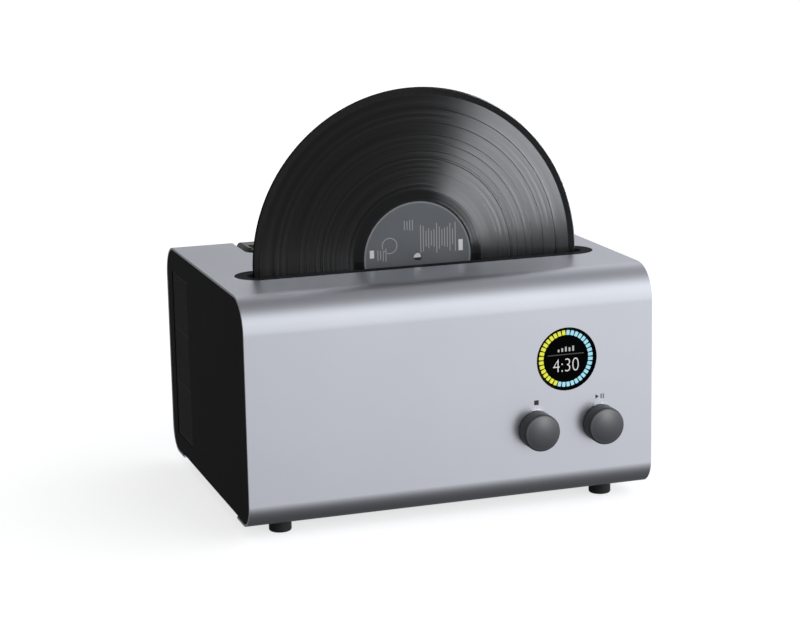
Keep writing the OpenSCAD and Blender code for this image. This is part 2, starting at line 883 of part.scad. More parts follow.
module roller_gear() {
    spokes = 5;
    color("#e4e2d8") placed() translate([drive_x, gear_y + gear_w, roller_z])
        rotate([90, 0, 0]) difference() {
            linear_extrude(gear_w) rotate(mesh_angle) gear_outline(gear_teeth);
            translate([0, 0, -over])
                cylinder(h = gear_w + 2 * over, r = shaft_r + fit_gap);
            for (k = [0 : spokes - 1]) rotate([0, 0, k * 360 / spokes])
                translate([(gear_pitch - 1.25 * gear_module + shaft_r + 2) / 2, 0, -over])
                cylinder(h = gear_w + 2 * over, r = 3);
        }
}

module motor_pinion() {
    color("#c9a45a") placed() {
        translate([pinion_x, gear_y + gear_w, pinion_z]) rotate([90, 0, 0])
            linear_extrude(gear_w) rotate(mesh_angle + 180 + 180 / pinion_teeth)
            gear_outline(pinion_teeth);
        rod_y(gear_y - 0.5, bracket_y + 8 - gear_y, pinion_x, pinion_z, motor_shaft_r);
    }
}

module motor_bracket() {
    x0 = drive_x - bush_flange_r - 4;
    x1 = pinion_x + motor_r + 3;
    top = pinion_z + motor_r + 2;
    color("#9a9ca0") placed() difference() {
        union() {
            block([x0, bracket_y, base_top], [x1, bracket_y + bracket_t, top]);
            block([x0, bracket_y, base_top], [x1, bracket_y + 18, base_top + bracket_t]);
        }
        rod_y(bracket_y - over, bracket_t + 2 * over, drive_x, roller_z, bush_r + fit_gap);
        rod_y(bracket_y - over, bracket_t + 2 * over, pinion_x, pinion_z,
            motor_boss_r + seat_gap);
        block([x0 + 12, bracket_y - over, base_top + 14],
            [x1 - 12, bracket_y + bracket_t + over, roller_z - bush_flange_r - 10]);
        for (x = [x0 + 8, x1 - 8])
            rod_z(base_top - over, bracket_t + 2 * over, x, bracket_y + 11, 1.7);
    }
}

module drive_motor() {
    gearbox = 14;
    y0 = bracket_y + bracket_t;
    color("#55585c") placed() difference() {
        union() {
            rod_y(y0 - bracket_t, bracket_t, pinion_x, pinion_z, motor_boss_r);
            rod_y(y0, gearbox, pinion_x, pinion_z, motor_r);
            rod_y(y0 + gearbox, motor_len - gearbox, pinion_x, pinion_z, motor_r - 2);
            rod_y(y0 + motor_len, 2, pinion_x, pinion_z, 5);
        }
        rod_y(bracket_y - over, over + 8.5, pinion_x, pinion_z, motor_shaft_r + fit_gap);
    }
}

// Front controls

module display_bezel() {
    r = display_r - 0.1;
    inner = display_r - bezel_lip;
    color("#08080a") placed() translate([display_x, y_front, disp_z]) rotate([-90, 0, 0])
        rotate_extrude() polygon([[inner, bezel_drop], [r - 0.8, -0.2], [r, -0.2],
            [r, sheet_t], [r + 3, sheet_t], [r + 3, sheet_t + 1.5],
            [inner + 1, sheet_t + 1.5], [inner + 1, bezel_drop + 0.4],
            [inner, bezel_drop + 0.4]]);
}

module display_glass() {
    color("#050506") placed() rod_y(y_front + bezel_drop + 0.4, glass_t, display_x, disp_z,
        display_r - bezel_lip + 0.8);
}

module display_module() {
    r = display_r - bezel_lip;
    y0 = y_front + bezel_drop + 0.4 + glass_t;
    color("#3a3c3f") placed() {
        rod_y(y0, module_t, display_x, disp_z, r);
        block([display_x - 9, y0, disp_z - r - 5], [display_x + 9, y0 + 1.5, disp_z]);
    }
}

module control_board() {
    color("#1f5a3c") placed() {
        difference() {
            block([knob_l - board_margin, board_y, board_low],
                [knob_rt + board_margin, board_y + board_t, board_high]);
            for (x = [knob_l - board_margin + post_edge, knob_rt + board_margin - post_edge],
                 z = [board_low + post_edge, board_high - post_edge])
                rod_y(board_y - over, board_t + 2 * over, x, z, 1.2);
        }
        block([knob_mid - 8, board_y + board_t, knobs_z - 8],
            [knob_mid + 8, board_y + board_t + 1.6, knobs_z + 8]);
        block([knob_mid - 18, board_y + board_t, board_low + 2],
            [knob_mid + 18, board_y + board_t + 7, board_low + 8]);
        block([display_x - 10, y_front + bezel_drop + 0.4 + glass_t + module_t, disp_z - 14],
            [display_x + 10, board_y, disp_z + 14]);
    }
}

module encoder(x) {
    front = board_y - encoder_depth;
    difference() {
        union() {
            block([x - encoder_side / 2, front, knobs_z - encoder_side / 2],
                [x + encoder_side / 2, board_y, knobs_z + encoder_side / 2]);
            rod_y(bush_end, front - bush_end, x, knobs_z, encoder_bush_r);
        }
        rod_y(bush_end - over, board_y - bush_end, x, knobs_z, encoder_shaft_r + fit_gap);
        rod_y(board_y - chamber_depth, chamber_depth + over, x, knobs_z, chamber_r);
    }
}

module encoder_left() {
    color("#4a4d52") placed() encoder(knob_l);
}

module encoder_right() {
    color("#4a4d52") placed() encoder(knob_rt);
}

module plunger(x) {
    rod_y(board_y - chamber_depth + run_gap, plunger_t, x, knobs_z, plunger_r);
}

module plunger_left() {
    color("#d0d0cc") placed() plunger(knob_l);
}

module plunger_right() {
    color("#d0d0cc") placed() plunger(knob_rt);
}

// Steel shaft from the plunger to the knob, with a flat for the knob
module knob_shaft(x) {
    front = knob_back - knob_bore_depth + seat_gap;
    difference() {
        rod_y(front, board_y - chamber_depth - front, x, knobs_z, encoder_shaft_r);
        block([x - encoder_shaft_r, front - over, knobs_z + 1.6],
            [x + encoder_shaft_r, knob_back - knob_cavity + 0.5, knobs_z + 4]);
    }
}

module shaft_left() {
    color("#c8cacc") placed() knob_shaft(knob_l);
}

module shaft_right() {
    color("#c8cacc") placed() knob_shaft(knob_rt);
}

// Round knob with a domed face, hollow at the back to clear the nut
module knob(x) {
    dome = (pow(knob_r, 2) + pow(dome_h, 2)) / (2 * dome_h);
    edge_x = knob_r - knob_edge;
    edge_z = knob_len - dome + sqrt(pow(dome, 2) - pow(edge_x, 2));
    translate([x, knob_back, knobs_z]) rotate([90, 0, 0]) difference() {
        rotate_extrude() union() {
            intersection() {
                square([edge_x, knob_len]);
                translate([0, knob_len - dome]) circle(r = dome);
            }
            square([knob_r, edge_z - knob_edge]);
            translate([edge_x, edge_z - knob_edge]) circle(r = knob_edge);
        }
        translate([0, 0, -over]) cylinder(h = over + knob_cavity, r = knob_cavity_r);
        translate([0, 0, knob_cavity - over]) difference() {
            cylinder(h = knob_bore_depth - knob_cavity + over, r = encoder_shaft_r + fit_gap);
            translate([-encoder_shaft_r, 1.7, 0]) cube([2 * encoder_shaft_r, 4, knob_bore_depth]);
        }
    }
}

module knob_left() {
    color("#3c3d42") placed() knob(knob_l);
}

module knob_right() {
    color("#3c3d42") placed() knob(knob_rt);
}

module bush_nuts() {
    color("#b0b2b6") placed() for (x = [knob_l, knob_rt])
        translate([x, y_front, knobs_z]) rotate([90, 0, 0]) difference() {
            cylinder(h = bush_nut_t, r = 7, $fn = 6);
            translate([0, 0, -over])
                cylinder(h = bush_nut_t + 2 * over, r = encoder_bush_r + fit_gap);
        }
}

// Water tank and its bay

// Body of the tank with its narrower neck, drawn in from the outer faces by an inset
module tank_form(inset) {
    intersection() {
        along_x(-bay_half, bay_w) casing_outline(inset);
        union() {
            translate([0, 0, tank_z + inset]) linear_extrude(well_z - tank_z - 2 * inset)
                bay_plan(tank_gap + inset);
            translate([0, 0, tank_z + inset]) linear_extrude(case_h)
                open_plan(neck_half - inset, neck_y + inset, neck_corner - inset);
        }
    }
}

module water_tank() {
    rim_low = lid_low - rim_h - run_gap;
    color("#76736e") placed() difference() {
        union() {
            tank_form(0);
            translate([0, 0, rim_low]) linear_extrude(z_top - rim_low) intersection() {
                open_plan(neck_half, rim_y, neck_corner);
                translate([-neck_half, rim_y]) square([2 * neck_half, lid_d]);
            }
        }
        tank_form(tank_wall);
        block([-lid_half, rim_y - over, lid_low - run_gap], [lid_half, strip_y, z_top + over]);
        rod_x(-lid_half - 1.8, 2 * lid_half + 3.6, hinge_y, hinge_z, hinge_pin_r + fit_gap);
        rod_z(tank_z - over, tank_wall + 2 * over, dock_x, dock_y, valve_r + seat_gap);
    }
}

// Lid with a rounded hinge edge and a stub pin at each end
module tank_lid() {
    half = lid_half - 0.4;
    color("#3a3b3d") placed() {
        block([-half, rim_y, lid_low], [half, hinge_y, lid_low + lid_t]);
        rod_x(-half, 2 * half, hinge_y, hinge_z, lid_t / 2);
        rod_x(-lid_half - 1.5, 2 * lid_half + 3, hinge_y, hinge_z, hinge_pin_r);
    }
}

// Pleated cartridge between two end caps
module filter_cartridge() {
    cap = 4;
    pleats = 9;
    z0 = tank_z + tank_wall;
    len = 66;
    step = (len - 2 * cap) / (2 * pleats);
    color("#dcd8c8") placed() translate([filter_x, filter_y, z0]) rotate_extrude()
        polygon(concat([[5, 0], [filter_r + 2, 0], [filter_r + 2, cap]],
            [for (i = [0 : 2 * pleats]) [filter_r - (i % 2) * 2, cap + i * step]],
            [[filter_r + 2, len - cap], [filter_r + 2, len], [5, len]]));
}

module tank_valve() {
    z0 = bay_z - valve_nose;
    top = tank_z + tank_wall;
    color("#e8e8e4") placed() translate([dock_x, dock_y, 0]) rotate_extrude()
        polygon([[3, z0], [valve_r, z0], [valve_r, top], [valve_flange_r, top],
            [valve_flange_r, top + 2], [valve_r, top + 2], [valve_r, top + 6], [3, top + 6]]);
}

// Moulded tray round the tank, with pads under it and a socket for its valve
module tank_bay() {
    color("#1e1f21") placed() difference() {
        union() {
            difference() {
                intersection() {
                    along_x(-bay_half - bay_wall, bay_w + 2 * bay_wall) intersection() {
                        casing_outline(sheet_t + seat_gap);
                        translate([bay_front - bay_wall, bay_z - bay_wall])
                            square([bay_d + bay_wall, case_h]);
                    }
                    translate([0, 0, bay_z - 2 * bay_wall])
                        linear_extrude(case_h) bay_plan(-bay_wall);
                }
                translate([0, 0, bay_z]) linear_extrude(case_h) bay_plan(0);
            }
            for (sx = [-1, 1], y = [bay_front + pad_edge, y_rear - pad_edge])
                translate([sx * (bay_half - pad_edge), y, bay_z + (pad_h - over) / 2])
                    cube([12, 12, pad_h + over], center = true);
            rod_z(bay_z - dock_h, dock_h, dock_x, dock_y, dock_r);
            rod_z(bay_z - dock_h - 8, 9, dock_x, dock_y, spigot_r);
        }
        rod_z(bay_z - dock_h + 3, dock_h, dock_x, dock_y, dock_bore);
        rod_z(bay_z - dock_h - 9, 20, dock_x, dock_y, spigot_bore);
    }
}

module dock_seal() {
    color("#7a2f2a") placed() difference() {
        rod_z(bay_z, pad_h, dock_x, dock_y, dock_r - 1);
        rod_z(bay_z - over, pad_h + 2 * over, dock_x, dock_y, dock_bore + 0.3);
    }
}

// Water circuit

module pump() {
    head = 15;
    y1 = pump_y + pump_len;
    color("#2e3134") placed() {
        difference() {
            union() {
                rod_y(pump_y, head, pump_x, pump_z, pump_r - 3);
                rod_y(pump_y + head, pump_len - head, pump_x, pump_z, pump_r);
                block([pump_x - pump_r, pump_y + 4, base_top],
                    [pump_x + pump_r, y1 - 4, base_top + 2]);
                block([pump_x - 9, pump_y + 4, base_top], [pump_x + 9, y1 - 4, pump_z - 8]);
                rod_y(pump_y - 9, 10, pump_x, pump_z, spigot_r);
                rod_y(y1 - 1, 10, pump_x, pump_z, spigot_r);
            }
            rod_y(pump_y - 10, 14, pump_x, pump_z, spigot_bore);
            rod_y(y1 - 3, 14, pump_x, pump_z, spigot_bore);
        }
    }
}

// Hose along Y that ends in a quarter bend up; dir is the side that the bend is on
module bent_hose(x, y_far, y_bend, z, z_end, r) {
    dir = y_bend > y_far ? 1 : -1;
    y_turn = y_bend - dir * hose_bend;
    rod_y(min(y_far, y_turn), abs(y_turn - y_far), x, z, r);
    translate([x, y_turn, z + hose_bend]) rotate([0, 0, dir > 0 ? 90 : -90])
        rotate([90, 0, 0]) rotate([0, 0, -90]) rotate_extrude(angle = 90)
        translate([hose_bend, 0]) circle(r = r);
    rod_z(z + hose_bend, z_end - z - hose_bend, x, y_bend, r);
}

module hose(x, y_far, y_bend, z, z_end) {
    dir = y_bend > y_far ? 1 : -1;
    difference() {
        bent_hose(x, y_far, y_bend, z, z_end, hose_r);
        bent_hose(x, y_far - dir * over, y_bend, z, z_end + over, hose_in);
    }
}

module suction_hose() {
    color("#c9ccd0") placed() hose(pump_x, pump_y - 0.5, rc_y, pump_z, bath_bottom - 1);
}

module return_hose() {
    color("#c9ccd0") placed()
        hose(pump_x, pump_y + pump_len + 0.5, dock_y, pump_z, bay_z - dock_h - 0.5);
}

// Drying air

module fan_places() {
    for (s = [-1, 1]) translate([fan_x, fan_y, fan_mid_z + s * fan_step / 2])
        rotate([0, 90, 0]) children();
}

// Frame with the motor cup carried on four struts at the inner end
module fan_frames() {
    cup = 4;
    color("#17181a") placed() fan_places() difference() {
        union() {
            difference() {
                translate([-fan_size / 2, -fan_size / 2, 0])
                    cube([fan_size, fan_size, fan_t]);
                translate([0, 0, -over]) cylinder(h = fan_t + 2 * over, r = fan_bore);
            }
            translate([0, 0, fan_t - cup]) cylinder(h = cup, r = hub_r);
            for (a = [0, 90]) rotate([0, 0, a + 45]) translate([-fan_size / 2, -1.5, fan_t - cup])
                cube([fan_size, 3, cup]);
        }
        translate([0, 0, fan_t - cup - over])
            cylinder(h = cup + 2 * over, r = fan_shaft_r + fit_gap);
        for (sx = [-1, 1], sy = [-1, 1])
            translate([sx * (fan_size / 2 - 5), sy * (fan_size / 2 - 5), -over])
            cylinder(h = fan_t + 2 * over, r = 2.1);
    }
}

module fan_rotor() {
    cup = 4;
    depth = fan_t - cup - 1.6;
    blade_r = fan_bore - blade_gap;
    translate([0, 0, 0.8]) {
        cylinder(h = depth, r = hub_r);
        cylinder(h = fan_t - 1.4, r = fan_shaft_r);
        intersection() {
            for (k = [0 : fan_blades - 1]) rotate([0, 0, k * 360 / fan_blades])
                translate([hub_r - 2, 0, depth / 2]) rotate([40, 0, 0])
                translate([0, -0.8, -depth]) cube([blade_r, 1.6, 2 * depth]);
            translate([0, 0, 1]) cylinder(h = depth - 2, r = blade_r);
        }
    }
}

module fan_rotor_lower() {
    color("#26282b") placed() translate([fan_x, fan_y, fan_mid_z - fan_step / 2])
        rotate([0, 90, 0]) fan_rotor();
}

module fan_rotor_upper() {
    color("#26282b") placed() translate([fan_x, fan_y, fan_mid_z + fan_step / 2])
        rotate([0, 90, 0]) fan_rotor();
}

// Box over both fans and the channel that leads their air to the tub
module air_duct() {
    y1 = fan_y + fan_size / 2;
    z0 = fan_mid_z - fan_step / 2 - fan_size / 2;
    w = duct_wall;
    color("#2a2c2f") placed() difference() {
        union() {
            block([plenum_x0, plenum_y0, z0], [plenum_x1, y1, duct_z1]);
            block([duct_x0, bath_rear, duct_z0], [duct_x1, elbow_y1, duct_z1]);
            block([plenum_x0, plenum_y0, duct_z0], [elbow_x1, elbow_y1, duct_z1]);
        }
        block([plenum_x0 - over, fan_y - fan_size / 2 + w, z0 + w],
            [plenum_x1 - w, y1 - w, duct_z1 - w]);
        block([plenum_x0 + w, plenum_y0 + w, z0 + w], [plenum_x1 - w, y1 - w, duct_z1 - w]);
        block([duct_x0 + w, bath_rear - over, duct_z0 + w],
            [duct_x1 - w, elbow_y1 - w, duct_z1 - w]);
        block([plenum_x0 + w, plenum_y0 + w, duct_z0 + w],
            [elbow_x1 - w, elbow_y1 - w, duct_z1 - w]);
    }
}

// Power

module power_supply() {
    x0 = -bay_half + 4;
    x1 = pump_x - pump_r - supply_gap;
    y0 = bay_front - board_reach;
    y1 = case_d / 2 - foot_inset_y - 5;
    top = base_top + supply_h;
    color("#a9acb0") placed() difference() {
        block([x0, y0, base_top], [x1, y1, top]);
        for (i = [0 : 9]) translate([x0 + 8 + i * 8, y0 + 8, top - 3])
            cube([3.5, y1 - y0 - 16, 4]);
        for (i = [0 : 6]) translate([x0 + 10 + i * 11, y0 - over, base_top + 8])
            cube([6, 3 + over, supply_h - 16]);
    }
}

module generator_board() {
    x0 = pump_x + pump_r + generator_gap;
    x1 = x0 + generator_w;
    y0 = bay_front - board_reach;
    y1 = y0 + generator_d;
    z0 = base_top + board_lift;
    fin_count = 8;
    color("#22603f") placed() {
        block([x0, y0, z0], [x1, y1, z0 + 1.6]);
        for (x = [x0 + 5, x1 - 5], y = [y0 + 5, y1 - 5])
            rod_z(base_top, board_lift + 1, x, y, 3);
        block([x0 + 6, y0 + 10, z0 + 1.6], [x0 + 40, y1 - 10, z0 + 5.6]);
        for (i = [0 : fin_count - 1])
            translate([x0 + 6 + i * 34 / fin_count, y0 + 10, z0 + 5])
                cube([1.8, y1 - y0 - 20, 20]);
        for (k = [0, 1]) translate([x1 - 24, y0 + 22 + k * 36, z0 + 8]) difference() {
            translate([0, 0, -7]) cylinder(h = 12, r = 14);
            translate([0, 0, -7 + 2]) cylinder(h = 12, r = 6);
        }
        for (k = [0 : 2]) rod_z(z0, 24, x1 - 44, y0 + 16 + k * 20, 5);
    }
}

module mains_inlet() {
    y0 = y_rear + inlet_flange_t;
    color("#111113") placed() translate([-inlet_x, 0, rear_z]) {
        difference() {
            union() {
                along_y(y_rear, inlet_flange_t)
                    square([2 * inlet_half_w + 4, 2 * inlet_half_h + 4], center = true);
                along_y(y_rear - 24, 24)
                    square([2 * inlet_half_w, 2 * inlet_half_h], center = true);
            }
            along_y(y0 - 18, 18 + over)
                polygon([[-12, -8], [12, -8], [12, 4], [8, 8], [-8, 8], [-12, 4]]);
        }
        for (p = [[-7, -1.5], [0, 2.5], [7, -1.5]])
            translate([p[0] - 1, y0 - 20, p[1] - 2]) cube([2, 15, 4]);
    }
}

module switch_frame() {
    half = rocker_r + run_gap;
    color("#111113") placed() translate([-switch_x, 0, rear_z]) difference() {
        union() {
            along_y(y_rear, bezel_t)
                square([2 * switch_half_w + 2.4, 2 * switch_half_h + 3], center = true);
            along_y(y_rear - 18, 18)
                square([2 * switch_half_w, 2 * switch_half_h], center = true);
        }
        along_y(y_rear + bezel_t - 17, 17 + over)
            square([rocker_w + 2 * run_gap, 2 * half], center = true);
        rod_x(-rocker_w, 2 * rocker_w, y_rear + bezel_t - rocker_pivot, 0,
            rocker_pin_r + fit_gap);
    }
}

// Rocker in its off position, drawn round its pivot: height across, depth outwards
module power_rocker() {
    t = rocker_run * 1.2;
    a = rocker_tilt;
    color("#1b1b1d") placed()
        translate([-switch_x - rocker_w / 2, y_rear + bezel_t - rocker_pivot, rear_z])
        rotate([90, 0, 90]) linear_extrude(rocker_w) intersection() {
            circle(r = rocker_r);
            polygon([[-7, -rocker_r], [rocker_pivot + rocker_lift + t * sin(a), -t * cos(a)],
                [rocker_pivot + rocker_lift, 0], [rocker_pivot + rocker_lift, rocker_r],
                [-7, rocker_r]]);
        }
    color("#1b1b1d") placed()
        rod_x(-switch_x - rocker_pin_len / 2, rocker_pin_len,
            y_rear + bezel_t - rocker_pivot, rear_z, rocker_pin_r);
}

shell();
side_panel_left();
side_panel_right();
grille_left();
grille_right();
base_plate();
feet();
foot_screws();
base_screws();
slot_frame();
record_guides();
wash_bath();
bath_saddles();
transducer_horns();
piezo_rings();
back_masses();
record_disc();
label_front();
label_rear();
drive_roller();
drive_shaft();
roller_gear();
idler_roller();
idler_shaft();
shaft_bushes();
motor_bracket();
drive_motor();
motor_pinion();
display_bezel();
display_glass();
display_module();
control_board();
encoder_left();
encoder_right();
plunger_left();
plunger_right();
knob_left();
knob_right();
shaft_left();
shaft_right();
bush_nuts();
water_tank();
tank_lid();
filter_cartridge();
tank_valve();
tank_bay();
dock_seal();
pump();
suction_hose();
return_hose();
fan_frames();
fan_rotor_upper();
fan_rotor_lower();
air_duct();
power_supply();
generator_board();
mains_inlet();
switch_frame();
power_rocker();
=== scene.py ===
# %% [markdown]
# # A record cleaning machine
# This lesson dresses a finished model of a tabletop record cleaner: a folded aluminium
# casing, a tub with a record standing in it, a round display and two knobs.
# The solids arrive from the construction model as a fixed frame. Nothing here moves or
# resizes them. Each cell either gives a solid its finish, or swaps it for a finer mesh.

# %% Load the frame
import bpy
import bmesh
import json
import math
from mathutils import Euler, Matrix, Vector

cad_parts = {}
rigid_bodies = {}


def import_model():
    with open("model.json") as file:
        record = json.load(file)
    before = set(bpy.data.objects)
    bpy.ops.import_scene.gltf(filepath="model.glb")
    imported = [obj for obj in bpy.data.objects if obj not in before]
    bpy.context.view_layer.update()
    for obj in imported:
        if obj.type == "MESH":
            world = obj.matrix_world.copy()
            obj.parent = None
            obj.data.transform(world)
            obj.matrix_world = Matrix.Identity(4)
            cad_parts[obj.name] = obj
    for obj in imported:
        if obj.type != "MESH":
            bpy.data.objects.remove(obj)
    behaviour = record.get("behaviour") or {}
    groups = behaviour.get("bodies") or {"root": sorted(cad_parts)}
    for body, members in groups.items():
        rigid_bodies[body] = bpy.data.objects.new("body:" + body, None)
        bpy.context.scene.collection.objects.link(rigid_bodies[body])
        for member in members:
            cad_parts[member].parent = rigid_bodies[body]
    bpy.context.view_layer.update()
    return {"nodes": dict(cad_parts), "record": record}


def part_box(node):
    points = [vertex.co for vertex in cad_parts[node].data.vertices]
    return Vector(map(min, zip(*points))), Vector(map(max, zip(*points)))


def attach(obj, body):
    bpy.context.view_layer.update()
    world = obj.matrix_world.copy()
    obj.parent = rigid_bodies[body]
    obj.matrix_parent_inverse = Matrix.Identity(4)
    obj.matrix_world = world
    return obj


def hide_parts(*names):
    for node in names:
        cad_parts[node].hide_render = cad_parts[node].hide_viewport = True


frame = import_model()
MM = 0.001

# %% [markdown]
# ## Helpers
# Objects, places and nodes are made in the same few steps all through, so those steps
# are written once. A node's socket takes either a plain value or a link from an earlier
# node, and one helper tells the two apart.

# %% Helpers for places, objects and nodes
VECTORS = "ShaderNodeVectorMath"


def middle(node):
    """The middle of a solid's box."""
    low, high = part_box(node)
    return (low + high) / 2


def toward(azimuth, elevation):
    """The direction from the machine to what stands at these two angles."""
    return Vector((math.sin(azimuth) * math.cos(elevation),
                   -math.cos(azimuth) * math.cos(elevation), math.sin(elevation)))


def add_object(name, data):
    thing = bpy.data.objects.new(name, data)
    bpy.context.scene.collection.objects.link(thing)
    return thing


def plug(node, feeds):
    """Fills sockets of a node, each by a link from an earlier node or by a value."""
    for socket, feed in feeds.items():
        if isinstance(feed, bpy.types.NodeSocket):
            node.id_data.links.new(feed, node.inputs[socket])
        else:
            node.inputs[socket].default_value = feed


def add_node(tree, kind, feeds=None, **settings):
    node = tree.nodes.new(kind)
    for key, value in settings.items():
        setattr(node, key, value)
    plug(node, feeds or {})
    return node


def maths(tree, operation, *terms, kind="ShaderNodeMath"):
    """One step of arithmetic, on numbers or on the kind of thing that is named."""
    return add_node(tree, kind, dict(enumerate(terms)), operation=operation).outputs[0]


def new_material(name):
    material = bpy.data.materials.new(name)
    material.use_nodes = True
    return material


def shader_of(material):
    return material.node_tree.nodes["Principled BSDF"]


print("the record's middle is at", [round(c, 3) for c in middle("record_disc")])

# %% [markdown]
# ## The camera
# A photograph fixes five numbers for the camera: where it looks, from which side, from
# how high, how far away, and how much it leans. Keeping them apart, and not typing in a
# finished matrix, makes each one easy to nudge. The image is taken to be 800 pixels wide.

# %% Camera at the photograph's viewing angle
CASING_LOW, CASING_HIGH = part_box("shell")
FRONT, UNDERSIDE = CASING_LOW.y, CASING_LOW.z
IMAGE_WIDTH = 800
FOCAL_PIXELS = 2157.8
SENSOR = 36.0
VIEW_AZIMUTH = math.radians(-18.31)
VIEW_ELEVATION = math.radians(12.26)
VIEW_ROLL = math.radians(-1.07)
VIEW_DISTANCE = 1961.67 * MM
VIEW_TARGET = Vector((-0.38 * MM, (FRONT + CASING_HIGH.y) / 2, UNDERSIDE + 147.32 * MM))
NEAREST, FARTHEST = 0.05, 100


def make_camera():
    back = toward(VIEW_AZIMUTH, VIEW_ELEVATION)
    data = bpy.data.cameras.new("camera")
    data.sensor_width = SENSOR
    data.lens = FOCAL_PIXELS * SENSOR / IMAGE_WIDTH
    data.clip_start, data.clip_end = NEAREST, FARTHEST
    camera = add_object("camera", data)
    level = back.to_track_quat("Z", "Y").to_matrix()
    lean = Euler((0, 0, VIEW_ROLL)).to_matrix()
    camera.matrix_world = (level @ lean).to_4x4()
    camera.location = VIEW_TARGET + back * VIEW_DISTANCE
    bpy.context.scene.camera = camera
    return camera


print("camera", [round(c, 3) for c in make_camera().location])

# %% [markdown]
# ## Studio
# Satin metal looks like what stands round it, so the light is the larger half of its
# finish. The machine stands on a white sweep whose own light hides every shadow but the
# one under the feet. The sweep is kept out of the reflections: the metal mirrors the sky
# alone, which is three smooth ramps multiplied. The one by height runs from a dark floor
# over a bright horizon to a dark ceiling. It gives the front panel its slow fade, the top
# bend its bright band with a darker one above it, and the bottom bend its near black. The
# ones by side and by depth darken the left end and the rear.

# %% Floor
FLOOR_HALF = 40.0
FLOOR_PAINT = {"Base Color": (0.80, 0.80, 0.80, 1), "Roughness": 0.95,
               "Specular IOR Level": 0.0, "Emission Color": (1, 1, 1, 1),
               "Emission Strength": 0.70}


def make_floor():
    mesh = bpy.data.meshes.new("floor")
    corners = [(x * FLOOR_HALF, y * FLOOR_HALF, 0)
               for x, y in ((-1, -1), (1, -1), (1, 1), (-1, 1))]
    mesh.from_pydata(corners, [], [(0, 1, 2, 3)])
    floor = add_object("floor", mesh)
    floor.visible_glossy = floor.visible_diffuse = False
    paint = new_material("floor_paint")
    plug(shader_of(paint), FLOOR_PAINT)
    mesh.materials.append(paint)
    return floor


print("floor stays out of reflections:", not make_floor().visible_glossy)

# %% Sky
SKY_BY_HEIGHT = ((0.0, 0.09), (0.15, 0.15), (0.30, 0.54), (0.38, 0.92), (0.44, 1.05),
                 (0.50, 1.08), (0.60, 1.06), (0.70, 1.18), (0.78, 1.30), (0.86, 1.08),
                 (0.94, 0.40), (1.0, 0.20))
SKY_BY_SIDE = ((0.0, 0.16), (0.325, 0.45), (0.5, 0.66), (0.60, 0.92), (0.70, 1.16),
               (1.0, 1.25))
SKY_BY_DEPTH = ((0.0, 1.0), (0.5, 0.80), (1.0, 0.46))
SKY_TINT, NO_TINT = (0.96, 0.975, 1.0), (1, 1, 1)
MIX_FIRST, MIX_SECOND, MIX_RESULT = 6, 7, 2  # the colour sockets of a Mix node


def fill_ramp(ramp, stops, tint):
    """Sets a colour ramp from pairs of place and brightness."""
    while len(ramp.elements) > 1:
        ramp.elements.remove(ramp.elements[-1])
    for i, (place, value) in enumerate(stops):
        stop = ramp.elements[0] if i == 0 else ramp.elements.new(place)
        stop.position = place
        stop.color = (*[value * t for t in tint], 1)


def make_sky():
    world = bpy.data.worlds.new("studio")
    world.use_nodes = True
    tree = world.node_tree
    where = add_node(tree, "ShaderNodeTexCoord")
    split = add_node(tree, "ShaderNodeSeparateXYZ", {0: where.outputs["Generated"]})
    light = None
    for axis, stops, tint in (("Z", SKY_BY_HEIGHT, SKY_TINT), ("X", SKY_BY_SIDE, NO_TINT),
                              ("Y", SKY_BY_DEPTH, NO_TINT)):
        share = maths(tree, "MULTIPLY_ADD", split.outputs[axis], 0.5, 0.5)
        ramp = add_node(tree, "ShaderNodeValToRGB", {0: share})
        fill_ramp(ramp.color_ramp, stops, tint)
        if light is None:
            light = ramp.outputs["Color"]
            continue
        product = add_node(tree, "ShaderNodeMix", {
            0: 1.0, MIX_FIRST: light, MIX_SECOND: ramp.outputs["Color"]},
            data_type="RGBA", blend_type="MULTIPLY")
        light = product.outputs[MIX_RESULT]
    plug(tree.nodes["Background"], {"Color": light})
    bpy.context.scene.world = world


make_sky()
bpy.context.scene.view_settings.view_transform = "Standard"
print("sky stops by height:", len(SKY_BY_HEIGHT))

# %% [markdown]
# ## Soft boxes
# The grooves of a record throw light into a fan whose place tells where the lamp stood:
# the middle of the fan points half way between the camera and the lamp. Here it points
# up and to the right, so the lamp stands low at the right. It is a soft box of a real
# studio's size, and light linking keeps it on the record, since on the metal it would
# burn out the bends. Two weaker ones do the same for the label and for the knobs: the
# knobs' one stands in front, so that their domes catch a round highlight.

# %% Lights
BOXES_AIM_AT = Vector((0, 0, 0.2))


def soft_box(name, azimuth, elevation, distance, width, height, power, tint=NO_TINT):
    """A rectangle of light that faces the machine. Angles in degrees, sizes in metres."""
    away = toward(math.radians(azimuth), math.radians(elevation))
    data = bpy.data.lights.new(name, "AREA")
    data.shape = "RECTANGLE"
    data.size, data.size_y = width, height
    data.energy = power
    data.color = tint
    box = add_object(name, data)
    box.matrix_world = away.to_track_quat("Z", "Y").to_matrix().to_4x4()
    box.location = BOXES_AIM_AT + away * distance
    box.visible_camera = False
    print(name, "at", [round(c, 2) for c in box.location])
    return box


groove_box = soft_box("groove_box", azimuth=64, elevation=18.5, distance=2.4, width=1.3,
                      height=2.0, power=2050, tint=(0.93, 0.96, 1.0))
label_box = soft_box("label_box", azimuth=62, elevation=52, distance=2.2, width=0.7,
                     height=0.7, power=70)
knob_box = soft_box("knob_box", azimuth=24, elevation=8, distance=2.2, width=0.6,
                    height=0.6, power=30)

# %% [markdown]
# ## Finishes
# Almost every finish here is one recipe: a colour that drifts a little, a roughness that
# drifts with it, and a fine bump at the real scale of the grain. One function builds that
# graph on Object coordinates, so a pattern stays on its piece when the piece moves.
# Values that are the same all over a surface are set on the shader's own sockets.

# %% The recipe for a finish
NOISE_RANGE = {"From Min": 0.3, "From Max": 0.7}
NOISE_DETAIL = 3.0
FINISH = {}


